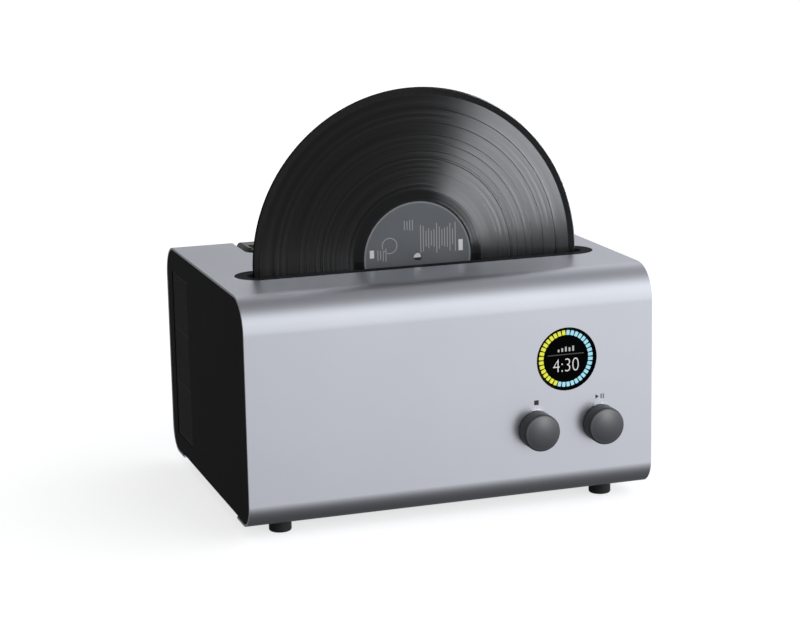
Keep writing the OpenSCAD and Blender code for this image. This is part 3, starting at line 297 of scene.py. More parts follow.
def spread(tree, value, low, high, value_range=NOISE_RANGE):
    """Maps noise, which gathers round one half, to the range from low to high."""
    return add_node(tree, "ShaderNodeMapRange", {
        "Value": value, **value_range, "To Min": low, "To Max": high}).outputs["Result"]


def grain(tree, size_mm, stretch=(1, 1, 1)):
    """Noise whose blobs are about size_mm across, pulled out along an axis by stretch."""
    where = add_node(tree, "ShaderNodeTexCoord").outputs["Object"]
    place = add_node(tree, "ShaderNodeMapping", {
        "Vector": where, "Scale": [1 / s for s in stretch]}).outputs["Vector"]
    noise = add_node(tree, "ShaderNodeTexNoise", {
        "Vector": place, "Scale": 1 / (size_mm * MM), "Detail": NOISE_DETAIL})
    return noise.outputs["Fac"]


def tinted(material, value, dark, light):
    """Mixes two colours by a value and feeds the shader's base colour."""
    mix = add_node(material.node_tree, "ShaderNodeMix", {
        0: value, MIX_FIRST: (*dark, 1), MIX_SECOND: (*light, 1)}, data_type="RGBA")
    plug(shader_of(material), {"Base Color": mix.outputs[MIX_RESULT]})


def bumped(material, height, depth_mm):
    bump = add_node(material.node_tree, "ShaderNodeBump", {
        "Height": height, "Strength": 1.0, "Distance": depth_mm * MM})
    plug(shader_of(material), {"Normal": bump.outputs["Normal"]})


def finish(name, color, drift=0.06, rough=(0.4, 0.5), patch_mm=40, grain_mm=0.5,
           depth_mm=0.01, stretch=(1, 1, 1), **sockets):
    """A material with drifting colour and roughness, and a bump at the grain's scale."""
    material = FINISH[name] = new_material(name)
    tree = material.node_tree
    patches = spread(tree, grain(tree, patch_mm), 0.0, 1.0)
    tinted(material, patches, [c * (1 - drift) for c in color],
           [c * (1 + drift) for c in color])
    fine = grain(tree, grain_mm, stretch)
    plug(shader_of(material), {"Roughness": spread(tree, fine, *rough)})
    bumped(material, fine, depth_mm)
    plug(shader_of(material), {key.replace("_", " "): v for key, v in sockets.items()})
    return material


print("noise is read between", *NOISE_RANGE.values())

# %% Finishes of the casing
finish("satin_aluminium", (0.70, 0.715, 0.765), drift=0.012, rough=(0.35, 0.39),
       patch_mm=70, grain_mm=0.35, depth_mm=0.004, Metallic=1.0)
finish("black_powder_coat", (0.005, 0.005, 0.0056), drift=0.1, rough=(0.5, 0.62),
       patch_mm=60, grain_mm=0.7, depth_mm=0.02, Specular_IOR_Level=0.08)
finish("vent_moulding", (0.03, 0.03, 0.031), rough=(0.5, 0.62), grain_mm=0.4,
       depth_mm=0.015)
finish("slot_moulding", (0.014, 0.0155, 0.021), rough=(0.5, 0.6), grain_mm=0.4,
       depth_mm=0.012, Specular_IOR_Level=0.03)
finish("foot_rubber", (0.013, 0.0145, 0.0145), drift=0.15, rough=(0.55, 0.75), patch_mm=6,
       grain_mm=0.5, depth_mm=0.03)
finish("zinc_plate", (0.5, 0.51, 0.53), drift=0.08, rough=(0.25, 0.42), patch_mm=8,
       grain_mm=0.3, depth_mm=0.008, Metallic=1.0)
print("finishes so far:", len(FINISH))

# %% Finishes of the controls and the tank
finish("knob_finish", (0.038, 0.039, 0.045), drift=0.05, rough=(0.42, 0.47), patch_mm=12,
       grain_mm=0.3, depth_mm=0.008)
finish("display_black", (0.0008, 0.0009, 0.0012), drift=0.3, rough=(0.10, 0.16),
       patch_mm=10, grain_mm=1.5, depth_mm=0.001, Specular_IOR_Level=0.02)
finish("tank_moulding", (0.17, 0.163, 0.152), drift=0.05, rough=(0.24, 0.36), patch_mm=50,
       grain_mm=0.8, depth_mm=0.006)
finish("smoked_moulding", (0.04, 0.042, 0.046), rough=(0.18, 0.3), grain_mm=0.8,
       depth_mm=0.005)
finish("bay_moulding", (0.0085, 0.009, 0.0105), rough=(0.4, 0.52), grain_mm=0.6,
       depth_mm=0.015)
print("finishes so far:", len(FINISH))

# %% Finishes of the inner works
finish("brushed_tub", (0.5, 0.51, 0.53), drift=0.04, rough=(0.2, 0.4), patch_mm=60,
       grain_mm=0.5, depth_mm=0.006, stretch=(40, 1, 1), Metallic=1.0)
finish("turned_aluminium", (0.6, 0.61, 0.63), rough=(0.22, 0.38), grain_mm=0.4,
       depth_mm=0.006, stretch=(6, 1, 6), Metallic=1.0)
finish("dark_steel", (0.2, 0.21, 0.23), rough=(0.3, 0.45), grain_mm=0.4, depth_mm=0.006,
       Metallic=1.0)
finish("brass", (0.6, 0.42, 0.17), rough=(0.2, 0.36), patch_mm=8, grain_mm=0.3,
       depth_mm=0.005, Metallic=1.0)
finish("fired_ceramic", (0.55, 0.45, 0.22), rough=(0.35, 0.5), grain_mm=0.4)
finish("natural_acetal", (0.7, 0.69, 0.63), drift=0.03, rough=(0.35, 0.45), grain_mm=0.6)
finish("blue_rubber", (0.035, 0.12, 0.25), drift=0.1, rough=(0.5, 0.65), grain_mm=0.6)
finish("red_silicone", (0.22, 0.03, 0.02), rough=(0.4, 0.55), grain_mm=0.8)
finish("clear_hose", (0.55, 0.57, 0.6), drift=0.04, rough=(0.25, 0.4), grain_mm=1.2,
       Subsurface_Weight=0.3)
finish("dark_moulding", (0.022, 0.0235, 0.026), rough=(0.45, 0.58), grain_mm=0.5,
       depth_mm=0.015)
finish("motor_paint", (0.08, 0.085, 0.095), rough=(0.35, 0.5), grain_mm=0.5)
finish("circuit_green", (0.018, 0.1, 0.05), drift=0.2, rough=(0.25, 0.4), patch_mm=3,
       grain_mm=0.8, Coat_Weight=0.3)
finish("pleated_fleece", (0.68, 0.65, 0.56), drift=0.08, rough=(0.8, 0.95), patch_mm=3,
       grain_mm=0.25, depth_mm=0.05)
finish("white_moulding", (0.74, 0.74, 0.71), drift=0.03, rough=(0.35, 0.5), grain_mm=0.5)
finish("gloss_moulding", (0.011, 0.011, 0.012), rough=(0.15, 0.25), grain_mm=1.0,
       depth_mm=0.003)
print("finishes so far:", len(FINISH))

# %% [markdown]
# ## Vinyl
# A pressed record is black and glossy, but its grooves spread every reflection into a
# fan that points at the spindle. Anisotropic gloss does that once the tangent runs along
# the radius, so the tangent is worked out from the place on the disc. The blank bands
# between two tracks have no grooves to spread the light: there the gloss is sharper, and
# they stay dark in the middle of the bright fan. Quiet music makes a fainter band, and
# the passages of a track differ a little from each other.

# %% Where a point lies on the disc
DISC = middle("record_disc")
DISC_RADIUS = (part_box("record_disc")[1].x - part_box("record_disc")[0].x) / 2
print("disc radius in mm:", round(DISC_RADIUS / MM, 1))


def radius_on_disc(tree):
    """Gives the vector from the spindle, flattened on the disc, and its length."""
    where = add_node(tree, "ShaderNodeTexCoord").outputs["Object"]
    offset = maths(tree, "SUBTRACT", where, DISC, kind=VECTORS)
    flat = maths(tree, "MULTIPLY", offset, (1, 0, 1), kind=VECTORS)
    length = add_node(tree, VECTORS, {0: flat}, operation="LENGTH")
    return flat, length.outputs["Value"]


def rings(tree, radius, width_mm, detail):
    """Noise that changes along the radius only."""
    return add_node(tree, "ShaderNodeTexNoise", {
        "W": radius, "Scale": 1 / (width_mm * MM), "Detail": detail},
        noise_dimensions="1D").outputs["Fac"]


def bands(tree, radius, places_mm, half_width_mm):
    """One on thin rings at the given radii, nought between them."""
    total = 0.0
    for place in places_mm:
        past = maths(tree, "SUBTRACT", radius, place * MM)
        away = maths(tree, "ABSOLUTE", past)
        near = maths(tree, "LESS_THAN", away, half_width_mm * MM)
        total = maths(tree, "MAXIMUM", near, total)
    return total


# %% Grooved and smooth vinyl
GROOVES_IN, GROOVES_OUT = 60.6 * MM, 144.1 * MM
# radii and half width in millimetres, and how much of the roughness a band takes away
BLANK_BANDS, BLANK_HALF, BLANK_WEIGHT = (131.7, 119.8, 102.4, 89.7, 87.9), 0.32, 0.6
QUIET_BANDS, QUIET_HALF, QUIET_WEIGHT = (109.0, 94.8, 76.4, 66.2), 0.30, 0.45
FINE_RING, PASSAGE_RING, COLOUR_RING = 0.5, 2.4, 5.0  # in millimetres
PASSAGE_RANGE = (0.74, 1.24)
ROUGHER_AT_LABEL, ROUGHER_AT_RIM = 1.45, 1.12


def make_grooved(name, dark, light, rough, depth_mm):
    """Vinyl whose gloss is drawn out along the radius by the grooves."""
    material = FINISH[name] = new_material(name)
    tree = material.node_tree
    outward_vector, radius = radius_on_disc(tree)
    tinted(material, spread(tree, rings(tree, radius, COLOUR_RING, 2.0), 0.0, 1.0),
           dark, light)
    fine = rings(tree, radius, FINE_RING, 3.0)
    bumped(material, fine, depth_mm)
    weights = [maths(tree, "MULTIPLY", bands(tree, radius, places, half), weight)
               for places, half, weight in ((BLANK_BANDS, BLANK_HALF, BLANK_WEIGHT),
                                            (QUIET_BANDS, QUIET_HALF, QUIET_WEIGHT))]
    cut = maths(tree, "SUBTRACT", 1.0, maths(tree, "MAXIMUM", *weights))
    passages = spread(tree, rings(tree, radius, PASSAGE_RING, 3.0), *PASSAGE_RANGE)
    inward = spread(tree, radius, ROUGHER_AT_LABEL, ROUGHER_AT_RIM,
                    {"From Min": GROOVES_IN, "From Max": GROOVES_OUT})
    level = maths(tree, "MULTIPLY", spread(tree, fine, *rough), inward)
    cut = maths(tree, "MULTIPLY", cut, passages)
    plug(shader_of(material), {
        "Roughness": maths(tree, "MULTIPLY", level, cut),
        "Tangent": maths(tree, "NORMALIZE", outward_vector, kind=VECTORS),
        "Anisotropic": 1.0, "Specular IOR Level": 0.11})


make_grooved("grooved_vinyl", (0.0005, 0.00048, 0.00047), (0.0009, 0.00087, 0.00086),
             rough=(0.34, 0.50), depth_mm=0.004)
make_grooved("run_out_vinyl", (0.0004, 0.0004, 0.0004), (0.0005, 0.0005, 0.0005),
             rough=(0.14, 0.17), depth_mm=0.001)
finish("smooth_vinyl", (0.0005, 0.0005, 0.0005), rough=(0.16, 0.24), patch_mm=20,
       grain_mm=2.0, depth_mm=0.001, Specular_IOR_Level=0.1)
print("blank bands at radii of", BLANK_BANDS, "mm")

# %% Paper and ink
finish("label_paper", (0.078, 0.085, 0.093), drift=0.08, rough=(0.42, 0.6), patch_mm=30,
       grain_mm=0.3, depth_mm=0.01)
for name, color, roughest in (
        ("label_ink", (0.24, 0.245, 0.25), 0.55), ("block_ink", (0.50, 0.51, 0.51), 0.55),
        ("rim_ink", (0.155, 0.165, 0.17), 0.55), ("front_ink", (0.03, 0.032, 0.04), 0.5),
        ("pale_ink", (0.18, 0.185, 0.2), 0.5)):
    finish(name, color, rough=(0.4, roughest), grain_mm=0.3)
print("finishes so far:", len(FINISH))

# %% Lit parts of the display
LIT, DIM = 0.92, 0.6
DULL = 0.1


def glowing(name, color, strength):
    """A lit segment: colour comes from emission, with a faint mottle in its plastic."""
    material = finish(name, [c * DULL for c in color], drift=0.05, rough=(0.3, 0.4),
                      patch_mm=2, grain_mm=0.5, Specular_IOR_Level=0.05)
    plug(shader_of(material), {"Emission Color": (*color, 1),
                               "Emission Strength": strength})


for name, color, strength in (
        ("lit_yellow", (0.80, 0.82, 0.08), LIT), ("lit_cyan", (0.39, 0.77, 0.90), LIT),
        ("lit_white", (0.74, 0.74, 0.73), LIT), ("lit_grey", (0.48, 0.49, 0.49), LIT),
        ("line_grey", (0.09, 0.09, 0.09), LIT), ("dim_olive", (0.035, 0.036, 0.004), DIM),
        ("dim_teal", (0.008, 0.024, 0.03), DIM)):
    glowing(name, color, strength)
print("finishes in all:", len(FINISH))

# %% [markdown]
# ## From solid to finished mesh
# A solid from the construction model has perfectly sharp edges, and no real edge is.
# The helper below copies a solid, joins its loose triangles, clears the flat ones away
# and breaks every sharp edge with a small round. The copy then stands for the solid.

# %% Pieces on their bodies
BODY_OF = {n: body for body, nodes in frame["record"]["behaviour"]["bodies"].items()
           for n in nodes}


def settle(name, mesh, body):
    """Puts a mesh on a body as a piece."""
    thing = add_object(name, mesh)
    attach(thing, body)
    print(name, "has", len(mesh.polygons), "faces")
    return thing


def piece(name, mesh, node, material):
    """Puts a mesh on a solid's body, in one finish."""
    mesh.materials.clear()
    mesh.materials.append(FINISH[material])
    return settle(name, mesh, BODY_OF[node])


print("solids with a body:", len(BODY_OF))

# %% Small steps on a mesh
FLAT_ANGLE, SMOOTH_ANGLE, SHARP_ANGLE = (math.radians(a) for a in (0.4, 32, 38))


def shade(mesh):
    for face in mesh.polygons:
        face.use_smooth = True
    mesh.set_sharp_from_angle(angle=SMOOTH_ANGLE)


def keep(work, mesh):
    """Ends the work on a mesh and keeps its result."""
    work.to_mesh(mesh)
    work.free()
    return mesh


def keep_outward(work, mesh):
    bmesh.ops.recalc_face_normals(work, faces=work.faces)
    return keep(work, mesh)


def wall(work, loop, other):
    """Joins two loops of corners by a strip of faces."""
    for i in range(len(loop)):
        j = (i + 1) % len(loop)
        work.faces.new((loop[i], loop[j], other[j], other[i]))


def break_edges(work, edges, edge_mm, segments):
    bmesh.ops.bevel(work, geom=edges, offset=edge_mm * MM, segments=segments, profile=0.5,
                    affect="EDGES", clamp_overlap=True)


# %% Edge rounding for a solid
JOIN_WITHIN = 0.002 * MM


def eased(node, material, edge_mm=0.3, segments=2):
    """A copy of a solid with its sharp edges rounded, which stands for that solid."""
    mesh = frame["nodes"][node].data.copy()
    mesh.name = node + "_eased"
    work = bmesh.new()
    work.from_mesh(mesh)
    bmesh.ops.remove_doubles(work, verts=work.verts, dist=JOIN_WITHIN)
    bmesh.ops.dissolve_limit(work, angle_limit=FLAT_ANGLE, verts=work.verts,
                             edges=work.edges, use_dissolve_boundaries=False)
    sharp = [e for e in work.edges
             if len(e.link_faces) == 2 and e.calc_face_angle() > SHARP_ANGLE]
    break_edges(work, sharp, edge_mm, segments)
    shade(keep(work, mesh))
    thing = piece(node + "_eased", mesh, node, material)
    flat = thing.modifiers.new("flat_faces", "WEIGHTED_NORMAL")
    flat.keep_sharp = True
    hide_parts(node)


def dressed(node, material):
    """A solid that keeps its own mesh and gets a finish."""
    mesh = frame["nodes"][node].data
    mesh.materials.clear()
    mesh.materials.append(FINISH[material])


# %% [markdown]
# ## Recipes for what repeats
# Slats, lit segments and printed lines all repeat one small shape by a rule. Geometry
# Nodes says the rule once, with a named input for each size, and the script cooks it with
# the sizes it wants. The result is turned into a plain mesh at once, so that what rides
# on the machine is ordinary geometry with nothing live left in it.

# %% Writing a recipe


class Recipe:
    """A Geometry Nodes tree written line by line, with a named input for each size."""

    def __init__(self, name):
        self.tree = bpy.data.node_groups.new(name, "GeometryNodeTree")
        self.tree.interface.new_socket("Geometry", in_out="OUTPUT",
                                       socket_type="NodeSocketGeometry")
        self.entry = self.tree.nodes.new("NodeGroupInput")
        self.exit = self.tree.nodes.new("NodeGroupOutput")

    def size(self, name, kind="Float"):
        self.tree.interface.new_socket(name, in_out="INPUT",
                                       socket_type="NodeSocket" + kind)
        return self.entry.outputs[name]

    def sizes(self, *names):
        return [self.size(name) for name in names]

    def step(self, kind, feeds=None, **settings):
        return add_node(self.tree, kind, feeds, **settings).outputs[0]

    def sum(self, operation, *terms):
        return maths(self.tree, operation, *terms)

    def vector(self, x=0.0, y=0.0, z=0.0):
        return self.step("ShaderNodeCombineXYZ", {"X": x, "Y": y, "Z": z})

    def rounded_outline(self, width, height, corner):
        outline = self.step("GeometryNodeCurvePrimitiveQuadrilateral",
                            {"Width": width, "Height": height})
        return self.step("GeometryNodeFilletCurve",
                         {"Curve": outline, "Radius": corner, "Count": 3}, mode="POLY")

    def end(self, geometry):
        """Real geometry, not instances, in the one material that is asked for."""
        real = self.step("GeometryNodeRealizeInstances", {"Geometry": geometry})
        painted = self.step("GeometryNodeSetMaterial", {
            "Geometry": real, "Material": self.size("Material", "Material")})
        plug(self.exit, {"Geometry": painted})
        print("recipe:", self.tree.name, "with", len(self.tree.nodes), "nodes")
        return painted


# %% Cooking a recipe


def plain_mesh(thing, name):
    """The final shape of an object as a mesh of its own."""
    bpy.context.view_layer.update()
    seen = thing.evaluated_get(bpy.context.evaluated_depsgraph_get())
    mesh = bpy.data.meshes.new_from_object(seen)
    mesh.name = name
    return mesh


def without_empty_slots(mesh):
    """Drops the blank material slot that a primitive starts with."""
    kept = [i for i, material in enumerate(mesh.materials) if material]
    materials = [mesh.materials[i] for i in kept]
    places = [kept.index(face.material_index) for face in mesh.polygons]
    mesh.materials.clear()
    for material in materials:
        mesh.materials.append(material)
    for face, place in zip(mesh.polygons, places):
        face.material_index = place
    return mesh


def cook(recipe, name, sizes):
    """Runs a recipe once with these sizes and hands back a plain mesh."""
    pan = add_object(name + "_pan", bpy.data.meshes.new(name + "_pan"))
    modifier = pan.modifiers.new("recipe", "NODES")
    modifier.node_group = recipe.tree
    for item in recipe.tree.interface.items_tree:
        if item.in_out == "INPUT":
            modifier[item.identifier] = sizes[item.name]
    mesh = plain_mesh(pan, name)
    pan.modifiers.remove(modifier)
    bpy.data.objects.remove(pan)
    return without_empty_slots(mesh)


# %% Recipe for flat round-cornered bars set in a ring
TOUCHING = 1e-6


def flat_bar(recipe, width, length, corner, thickness):
    """A round-cornered plate that faces the front, closed on both sides."""
    step = recipe.step
    soft = recipe.rounded_outline(width, length, corner)
    plate = step("GeometryNodeFillCurve", {"Curve": soft}, mode="NGONS")
    raised = step("GeometryNodeExtrudeMesh",
                  {"Mesh": plate, "Offset Scale": thickness, "Individual": False})
    back = step("GeometryNodeFlipFaces", {"Mesh": plate})
    both = recipe.tree.nodes.new("GeometryNodeJoinGeometry")
    for side in (raised, back):
        plug(both, {0: side})
    closed = step("GeometryNodeMergeByDistance",
                  {"Geometry": both.outputs[0], "Distance": TOUCHING})
    return step("GeometryNodeTransform",
                {"Geometry": closed, "Rotation": (math.pi / 2, 0, 0)})


def ring_recipe():
    recipe = Recipe("bars in a ring")
    step, do = recipe.step, recipe.sum
    count, centre = recipe.size("Count", "Int"), recipe.size("Centre", "Vector")
    first, pitch, ring = recipe.sizes("First angle", "Pitch angle", "Ring radius")
    bar = flat_bar(recipe, *recipe.sizes("Bar width", "Bar length", "Corner", "Thickness"))
    angle = do("MULTIPLY_ADD", step("GeometryNodeInputIndex"), pitch, first)
    x, z = (do("MULTIPLY", do(turn, angle), ring) for turn in ("SINE", "COSINE"))
    spot = step(VECTORS, {0: recipe.vector(x=x, z=z), 1: centre}, operation="ADD")
    row = step("GeometryNodeMeshLine", {"Count": count})
    placed = step("GeometryNodeSetPosition", {"Geometry": row, "Position": spot})
    recipe.end(step("GeometryNodeInstanceOnPoints", {
        "Points": placed, "Instance": bar, "Rotation": recipe.vector(y=angle)}))
    return recipe


bars_in_a_ring = ring_recipe()

# %% Recipe for upright slats


def slat_recipe():
    recipe = Recipe("upright slats")
    step = recipe.step
    count, first = recipe.size("Count", "Int"), recipe.size("First slat", "Vector")
    pitch, depth, width, height, corner = recipe.sizes(
        "Pitch", "Slat depth", "Slat width", "Slat height", "Corner")
    soft = recipe.rounded_outline(depth, width, corner)
    spine = step("GeometryNodeCurvePrimitiveLine", {"End": recipe.vector(z=height)})
    slat = step("GeometryNodeCurveToMesh",
                {"Curve": spine, "Profile Curve": soft, "Fill Caps": True})
    row = step("GeometryNodeMeshLine", {
        "Count": count, "Start Location": first, "Offset": recipe.vector(y=pitch)})
    recipe.end(step("GeometryNodeInstanceOnPoints", {"Points": row, "Instance": slat}))
    return recipe


upright_slats = slat_recipe()

# %% Recipe for printed lines of uneven length


def print_recipe():
    recipe = Recipe("printed lines")
    step = recipe.step
    count, first = recipe.size("Count", "Int"), recipe.size("First line", "Vector")
    pitch, thin, thickness, shortest, longest = recipe.sizes(
        "Pitch", "Line width", "Thickness", "Shortest", "Longest")
    row = step("GeometryNodeMeshLine", {
        "Count": count, "Start Location": first, "Offset": recipe.vector(x=pitch)})
    chance = add_node(recipe.tree, "FunctionNodeRandomValue", {
        2: shortest, 3: longest, "Seed": recipe.size("Seed", "Int")}, data_type="FLOAT")
    stroke = step("GeometryNodeMeshCube", {"Size": recipe.vector(1.0, 1.0, 1.0)})
    recipe.end(step("GeometryNodeInstanceOnPoints", {
        "Points": row, "Instance": stroke,
        "Scale": recipe.vector(thin, thickness, chance.outputs[1])}))
    return recipe


printed_lines = print_recipe()

# %% [markdown]
# ## Casing
# The real casing is one aluminium sheet rolled round the machine, blasted and anodised,
# with a black coated panel set into each end. The solids already have those shapes, so
# here they only get rounded edges and their finishes.

# %% Casing
CASING_EDGES = {
    "shell": ("satin_aluminium", 0.35), "side_panel_left": ("black_powder_coat", 0.5),
    "side_panel_right": ("black_powder_coat", 0.5), "slot_frame": ("slot_moulding", 0.35),
    "base_plate": ("black_powder_coat", 0.3), "feet": ("foot_rubber", 0.3),
}
for node, (material, edge) in CASING_EDGES.items():
    eased(node, material, edge_mm=edge, segments=3)
for node in ("foot_screws", "base_screws"):
    eased(node, "zinc_plate", edge_mm=0.1, segments=1)

# %% [markdown]
# ## Side vents
# A moulded insert fills the window of each side panel. Its slats are thin, round-edged
# and upright, and two cross bars hold them. The slats come from the recipe. The rim and
# the bars are boxes with eased edges, made in one mesh because they are one moulding.

# %% Side vents
VENT_RIM, VENT_BACK, VENT_BAR = 4 * MM, 1.5 * MM, 3 * MM
VENT_ROWS = 3
BAR_BEHIND_FACE, BAR_INSET, BAR_LIFT, BAR_DROP = 0.3 * MM, 0.2 * MM, 0.1 * MM, 0.3 * MM
SLAT_PITCH, SLAT_WIDTH, SLAT_CORNER, SLAT_INSET = 4 * MM, 2 * MM, 0.5 * MM, 0.3 * MM


def boxes(name, corner_pairs, edge_mm):
    """One mesh of boxes, each between two corners, with broken edges."""
    work = bmesh.new()
    for low, high in corner_pairs:
        made = bmesh.ops.create_cube(work, size=1.0)
        for vert in made["verts"]:
            vert.co = Vector([l + (c + 0.5) * (h - l)
                              for c, l, h in zip(vert.co, low, high)])
    break_edges(work, work.edges[:], edge_mm, 2)
    return keep_outward(work, bpy.data.meshes.new(name))


def make_vent(side):
    node = "grille_" + side
    low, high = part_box(node)
    outer = side == "left"
    back_x = (high.x - VENT_BACK, high.x) if outer else (low.x, low.x + VENT_BACK)
    face_x = (low.x, high.x - VENT_BACK) if outer else (low.x + VENT_BACK, high.x)
    y0, y1 = low.y + VENT_RIM, high.y - VENT_RIM
    z0, z1 = low.z + VENT_RIM, high.z - VENT_RIM
    rim = [((back_x[0], a, b), (back_x[1], c, d)) for a, b, c, d in (
        (low.y, low.z, high.y, z0), (low.y, z1, high.y, high.z),
        (low.y, z0, y0 + VENT_BAR / 2, z1), (y1 - VENT_BAR / 2, z0, high.y, z1))]
    step = (z1 - z0 - VENT_BAR) / VENT_ROWS
    bars = [(z0 + k * step + BAR_LIFT, z0 + k * step + VENT_BAR) for k in range(VENT_ROWS)]
    bars.append((z1 - VENT_BAR, z1 - BAR_DROP))
    rim += [((face_x[0] + BAR_BEHIND_FACE, y0 + BAR_INSET, bottom),
             (face_x[1], y1 - BAR_INSET, top)) for bottom, top in bars]
    name = "vent_frame_" + side
    frame_piece = piece(name, boxes(name, rim, 0.25), node, "vent_moulding")
    count = int((y1 - y0) / SLAT_PITCH)
    start_y = (y0 + y1) / 2 - (count - 1) * SLAT_PITCH / 2
    name = "vent_slats_" + side
    mesh = cook(upright_slats, name, {
        "Count": count, "Pitch": SLAT_PITCH, "Slat depth": face_x[1] - face_x[0],
        "Slat width": SLAT_WIDTH, "Slat height": z1 - z0 - 2 * SLAT_INSET,
        "First slat": ((face_x[0] + face_x[1]) / 2, start_y, z0 + SLAT_INSET),
        "Corner": SLAT_CORNER, "Material": FINISH["vent_moulding"]})
    shade(mesh)
    settle(name, mesh, BODY_OF[node])
    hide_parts(node)


for side in ("left", "right"):
    make_vent(side)

# %% [markdown]
# ## Record
# A pressed record is a thin turned shape: thin in the grooves, thicker under the label
# and in the bead at its rim. One rule makes it. A flat grid has one direction bent into
# the angle round the spindle, and the other led from the hole over the front face to the
# rim and back. A curve gives the thickness at each radius, in real millimetres, and the
# rows crowd towards the rim, where the bead needs them.

# %% Thickness of the disc at each radius
DISC_HALF = 1.05 * MM
# radius and half thickness there, in millimetres
THICKNESS_BY_RADIUS = ((0.0, 0.90), (49.9, 0.90), (50.1, 0.98), (51.0, 0.84), (59.0, 0.76),
                       (60.4, 0.82), (144.1, 0.82), (145.0, 0.80), (147.0, 0.94),
                       (149.5, 1.05), (150.6, 1.05))


def thickness_curve(recipe, share):
    """The half thickness at a share of the rim's radius, as a share of the bead's."""
    curve = add_node(recipe.tree, "ShaderNodeFloatCurve", {"Value": share})
    points = curve.mapping.curves[0].points
    while len(points) > 2:
        points.remove(points[-1])
    for i, (at_mm, half_mm) in enumerate(THICKNESS_BY_RADIUS):
        spot = (at_mm * MM / DISC_RADIUS, half_mm * MM / DISC_HALF)
        if i < 2:
            points[i].location = spot
        else:
            points.new(*spot)
    for point in points:
        point.handle_type = "VECTOR"
    curve.mapping.update()
    return curve.outputs[0]


# %% Recipe for the pressed disc
ROW_CROWDING = 1.6
SEAM_WITHIN = 2e-6


def disc_recipe():
    recipe = Recipe("pressed disc")
    step, do = recipe.step, recipe.sum
    around, rows = recipe.size("Steps around", "Int"), recipe.size("Rows", "Int")
    hole, rim, bead = recipe.sizes("Hole radius", "Rim radius", "Bead radius")
    paper, first, last = recipe.sizes("Label radius", "First groove", "Last groove")
    centre = recipe.size("Centre", "Vector")
    sheet = step("GeometryNodeMeshGrid", {"Size X": 1.0, "Size Y": 1.0,
                                          "Vertices X": around, "Vertices Y": rows})
    place = step("GeometryNodeInputPosition")
    on_sheet = add_node(recipe.tree, "ShaderNodeSeparateXYZ", {0: place}).outputs
    angle = do("MULTIPLY", on_sheet["X"], 2 * math.pi)
    face = do("MULTIPLY", on_sheet["Y"], 2.0)
    # how far a row has come from the hole to the rim, crowded towards the rim
    travel = do("SUBTRACT", 1.0, do("ABSOLUTE", face))
    row_step = do("DIVIDE", 2.0, do("SUBTRACT", rows, 1.0))
    rise = do("MINIMUM", do("DIVIDE", travel, row_step), 1.0)
    past = do("DIVIDE", do("SUBTRACT", travel, row_step), do("SUBTRACT", 1.0, row_step))
    left = do("MAXIMUM", do("SUBTRACT", 1.0, do("MAXIMUM", past, 0.0)), 0.0)
    crowded = do("SUBTRACT", 1.0, do("POWER", left, ROW_CROWDING))
    radius = do("MULTIPLY_ADD", crowded, do("SUBTRACT", rim, hole), hole)
    # half the thickness there, rounded off in the bead
    half = do("MULTIPLY", thickness_curve(recipe, do("DIVIDE", radius, rim)), bead)
    into_bead = do("MAXIMUM", do("SUBTRACT", radius, do("SUBTRACT", rim, bead)), 0.0)
    square_left = do("SUBTRACT", do("MULTIPLY", bead, bead),
                     do("MULTIPLY", into_bead, into_bead))
    round_off = do("SQRT", do("MAXIMUM", square_left, 0.0))
    half = do("MULTIPLY", do("MINIMUM", half, round_off), rise)
    flat = recipe.vector(do("MULTIPLY", do("SINE", angle), radius),
                         do("MULTIPLY", half, do("SIGN", face)),
                         do("MULTIPLY", do("COSINE", angle), radius))
    spot = step(VECTORS, {0: flat, 1: centre}, operation="ADD")
    bent = step("GeometryNodeSetPosition", {"Geometry": sheet, "Position": spot})
    disc = step("GeometryNodeMergeByDistance", {"Geometry": bent, "Distance": SEAM_WITHIN})
    painted = recipe.end(disc)
    # two rings of the disc get a vinyl of their own
    offset = step(VECTORS, {0: place, 1: centre}, operation="SUBTRACT")
    level = step(VECTORS, {0: offset, 1: (1, 0, 1)}, operation="MULTIPLY")
    away = add_node(recipe.tree, VECTORS, {0: level}, operation="LENGTH").outputs["Value"]
    for name, inner, outer in (("Run-out vinyl", paper, first),
                               ("Grooved vinyl", first, last)):
        ring = do("MULTIPLY", do("GREATER_THAN", away, inner), do("LESS_THAN", away, outer))
        painted = step("GeometryNodeSetMaterial", {
            "Geometry": painted, "Selection": ring,
            "Material": recipe.size(name, "Material")})
    plug(recipe.exit, {"Geometry": painted})
    return recipe


pressed = disc_recipe()

# %% Record
LOOSE_WITHIN = 0.0002 * MM


def outward(mesh):
    """Joins the loose edges of a closed mesh and turns every face outward."""
    work = bmesh.new()
    work.from_mesh(mesh)
    bmesh.ops.remove_doubles(work, verts=work.verts, dist=LOOSE_WITHIN)
    print(mesh.name, "open edges:", sum(len(e.link_faces) != 2 for e in work.edges))
    return keep_outward(work, mesh)


disc_mesh = cook(pressed, "pressed_disc", {
    "Steps around": 241, "Rows": 241, "Hole radius": 3.63 * MM, "Rim radius": DISC_RADIUS,
    "Bead radius": DISC_HALF, "Centre": DISC, "Label radius": 51 * MM,
    "First groove": GROOVES_IN, "Last groove": GROOVES_OUT,
    "Run-out vinyl": FINISH["run_out_vinyl"], "Grooved vinyl": FINISH["grooved_vinyl"],
    "Material": FINISH["smooth_vinyl"]})
shade(outward(disc_mesh))
pressed_disc = settle("pressed_disc", disc_mesh, BODY_OF["record_disc"])
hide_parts("record_disc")
print("vinyls on the disc:", [m.name for m in disc_mesh.materials])

# %% [markdown]
# ## Label
# The paper keeps its solid. Its print is a design of this lesson's own: rows of lines of
# uneven length, as small type looks from across a room, two pale blocks and two rings.
# Nothing on it can be read. It lies a few hundredths of a millimetre proud of the paper.

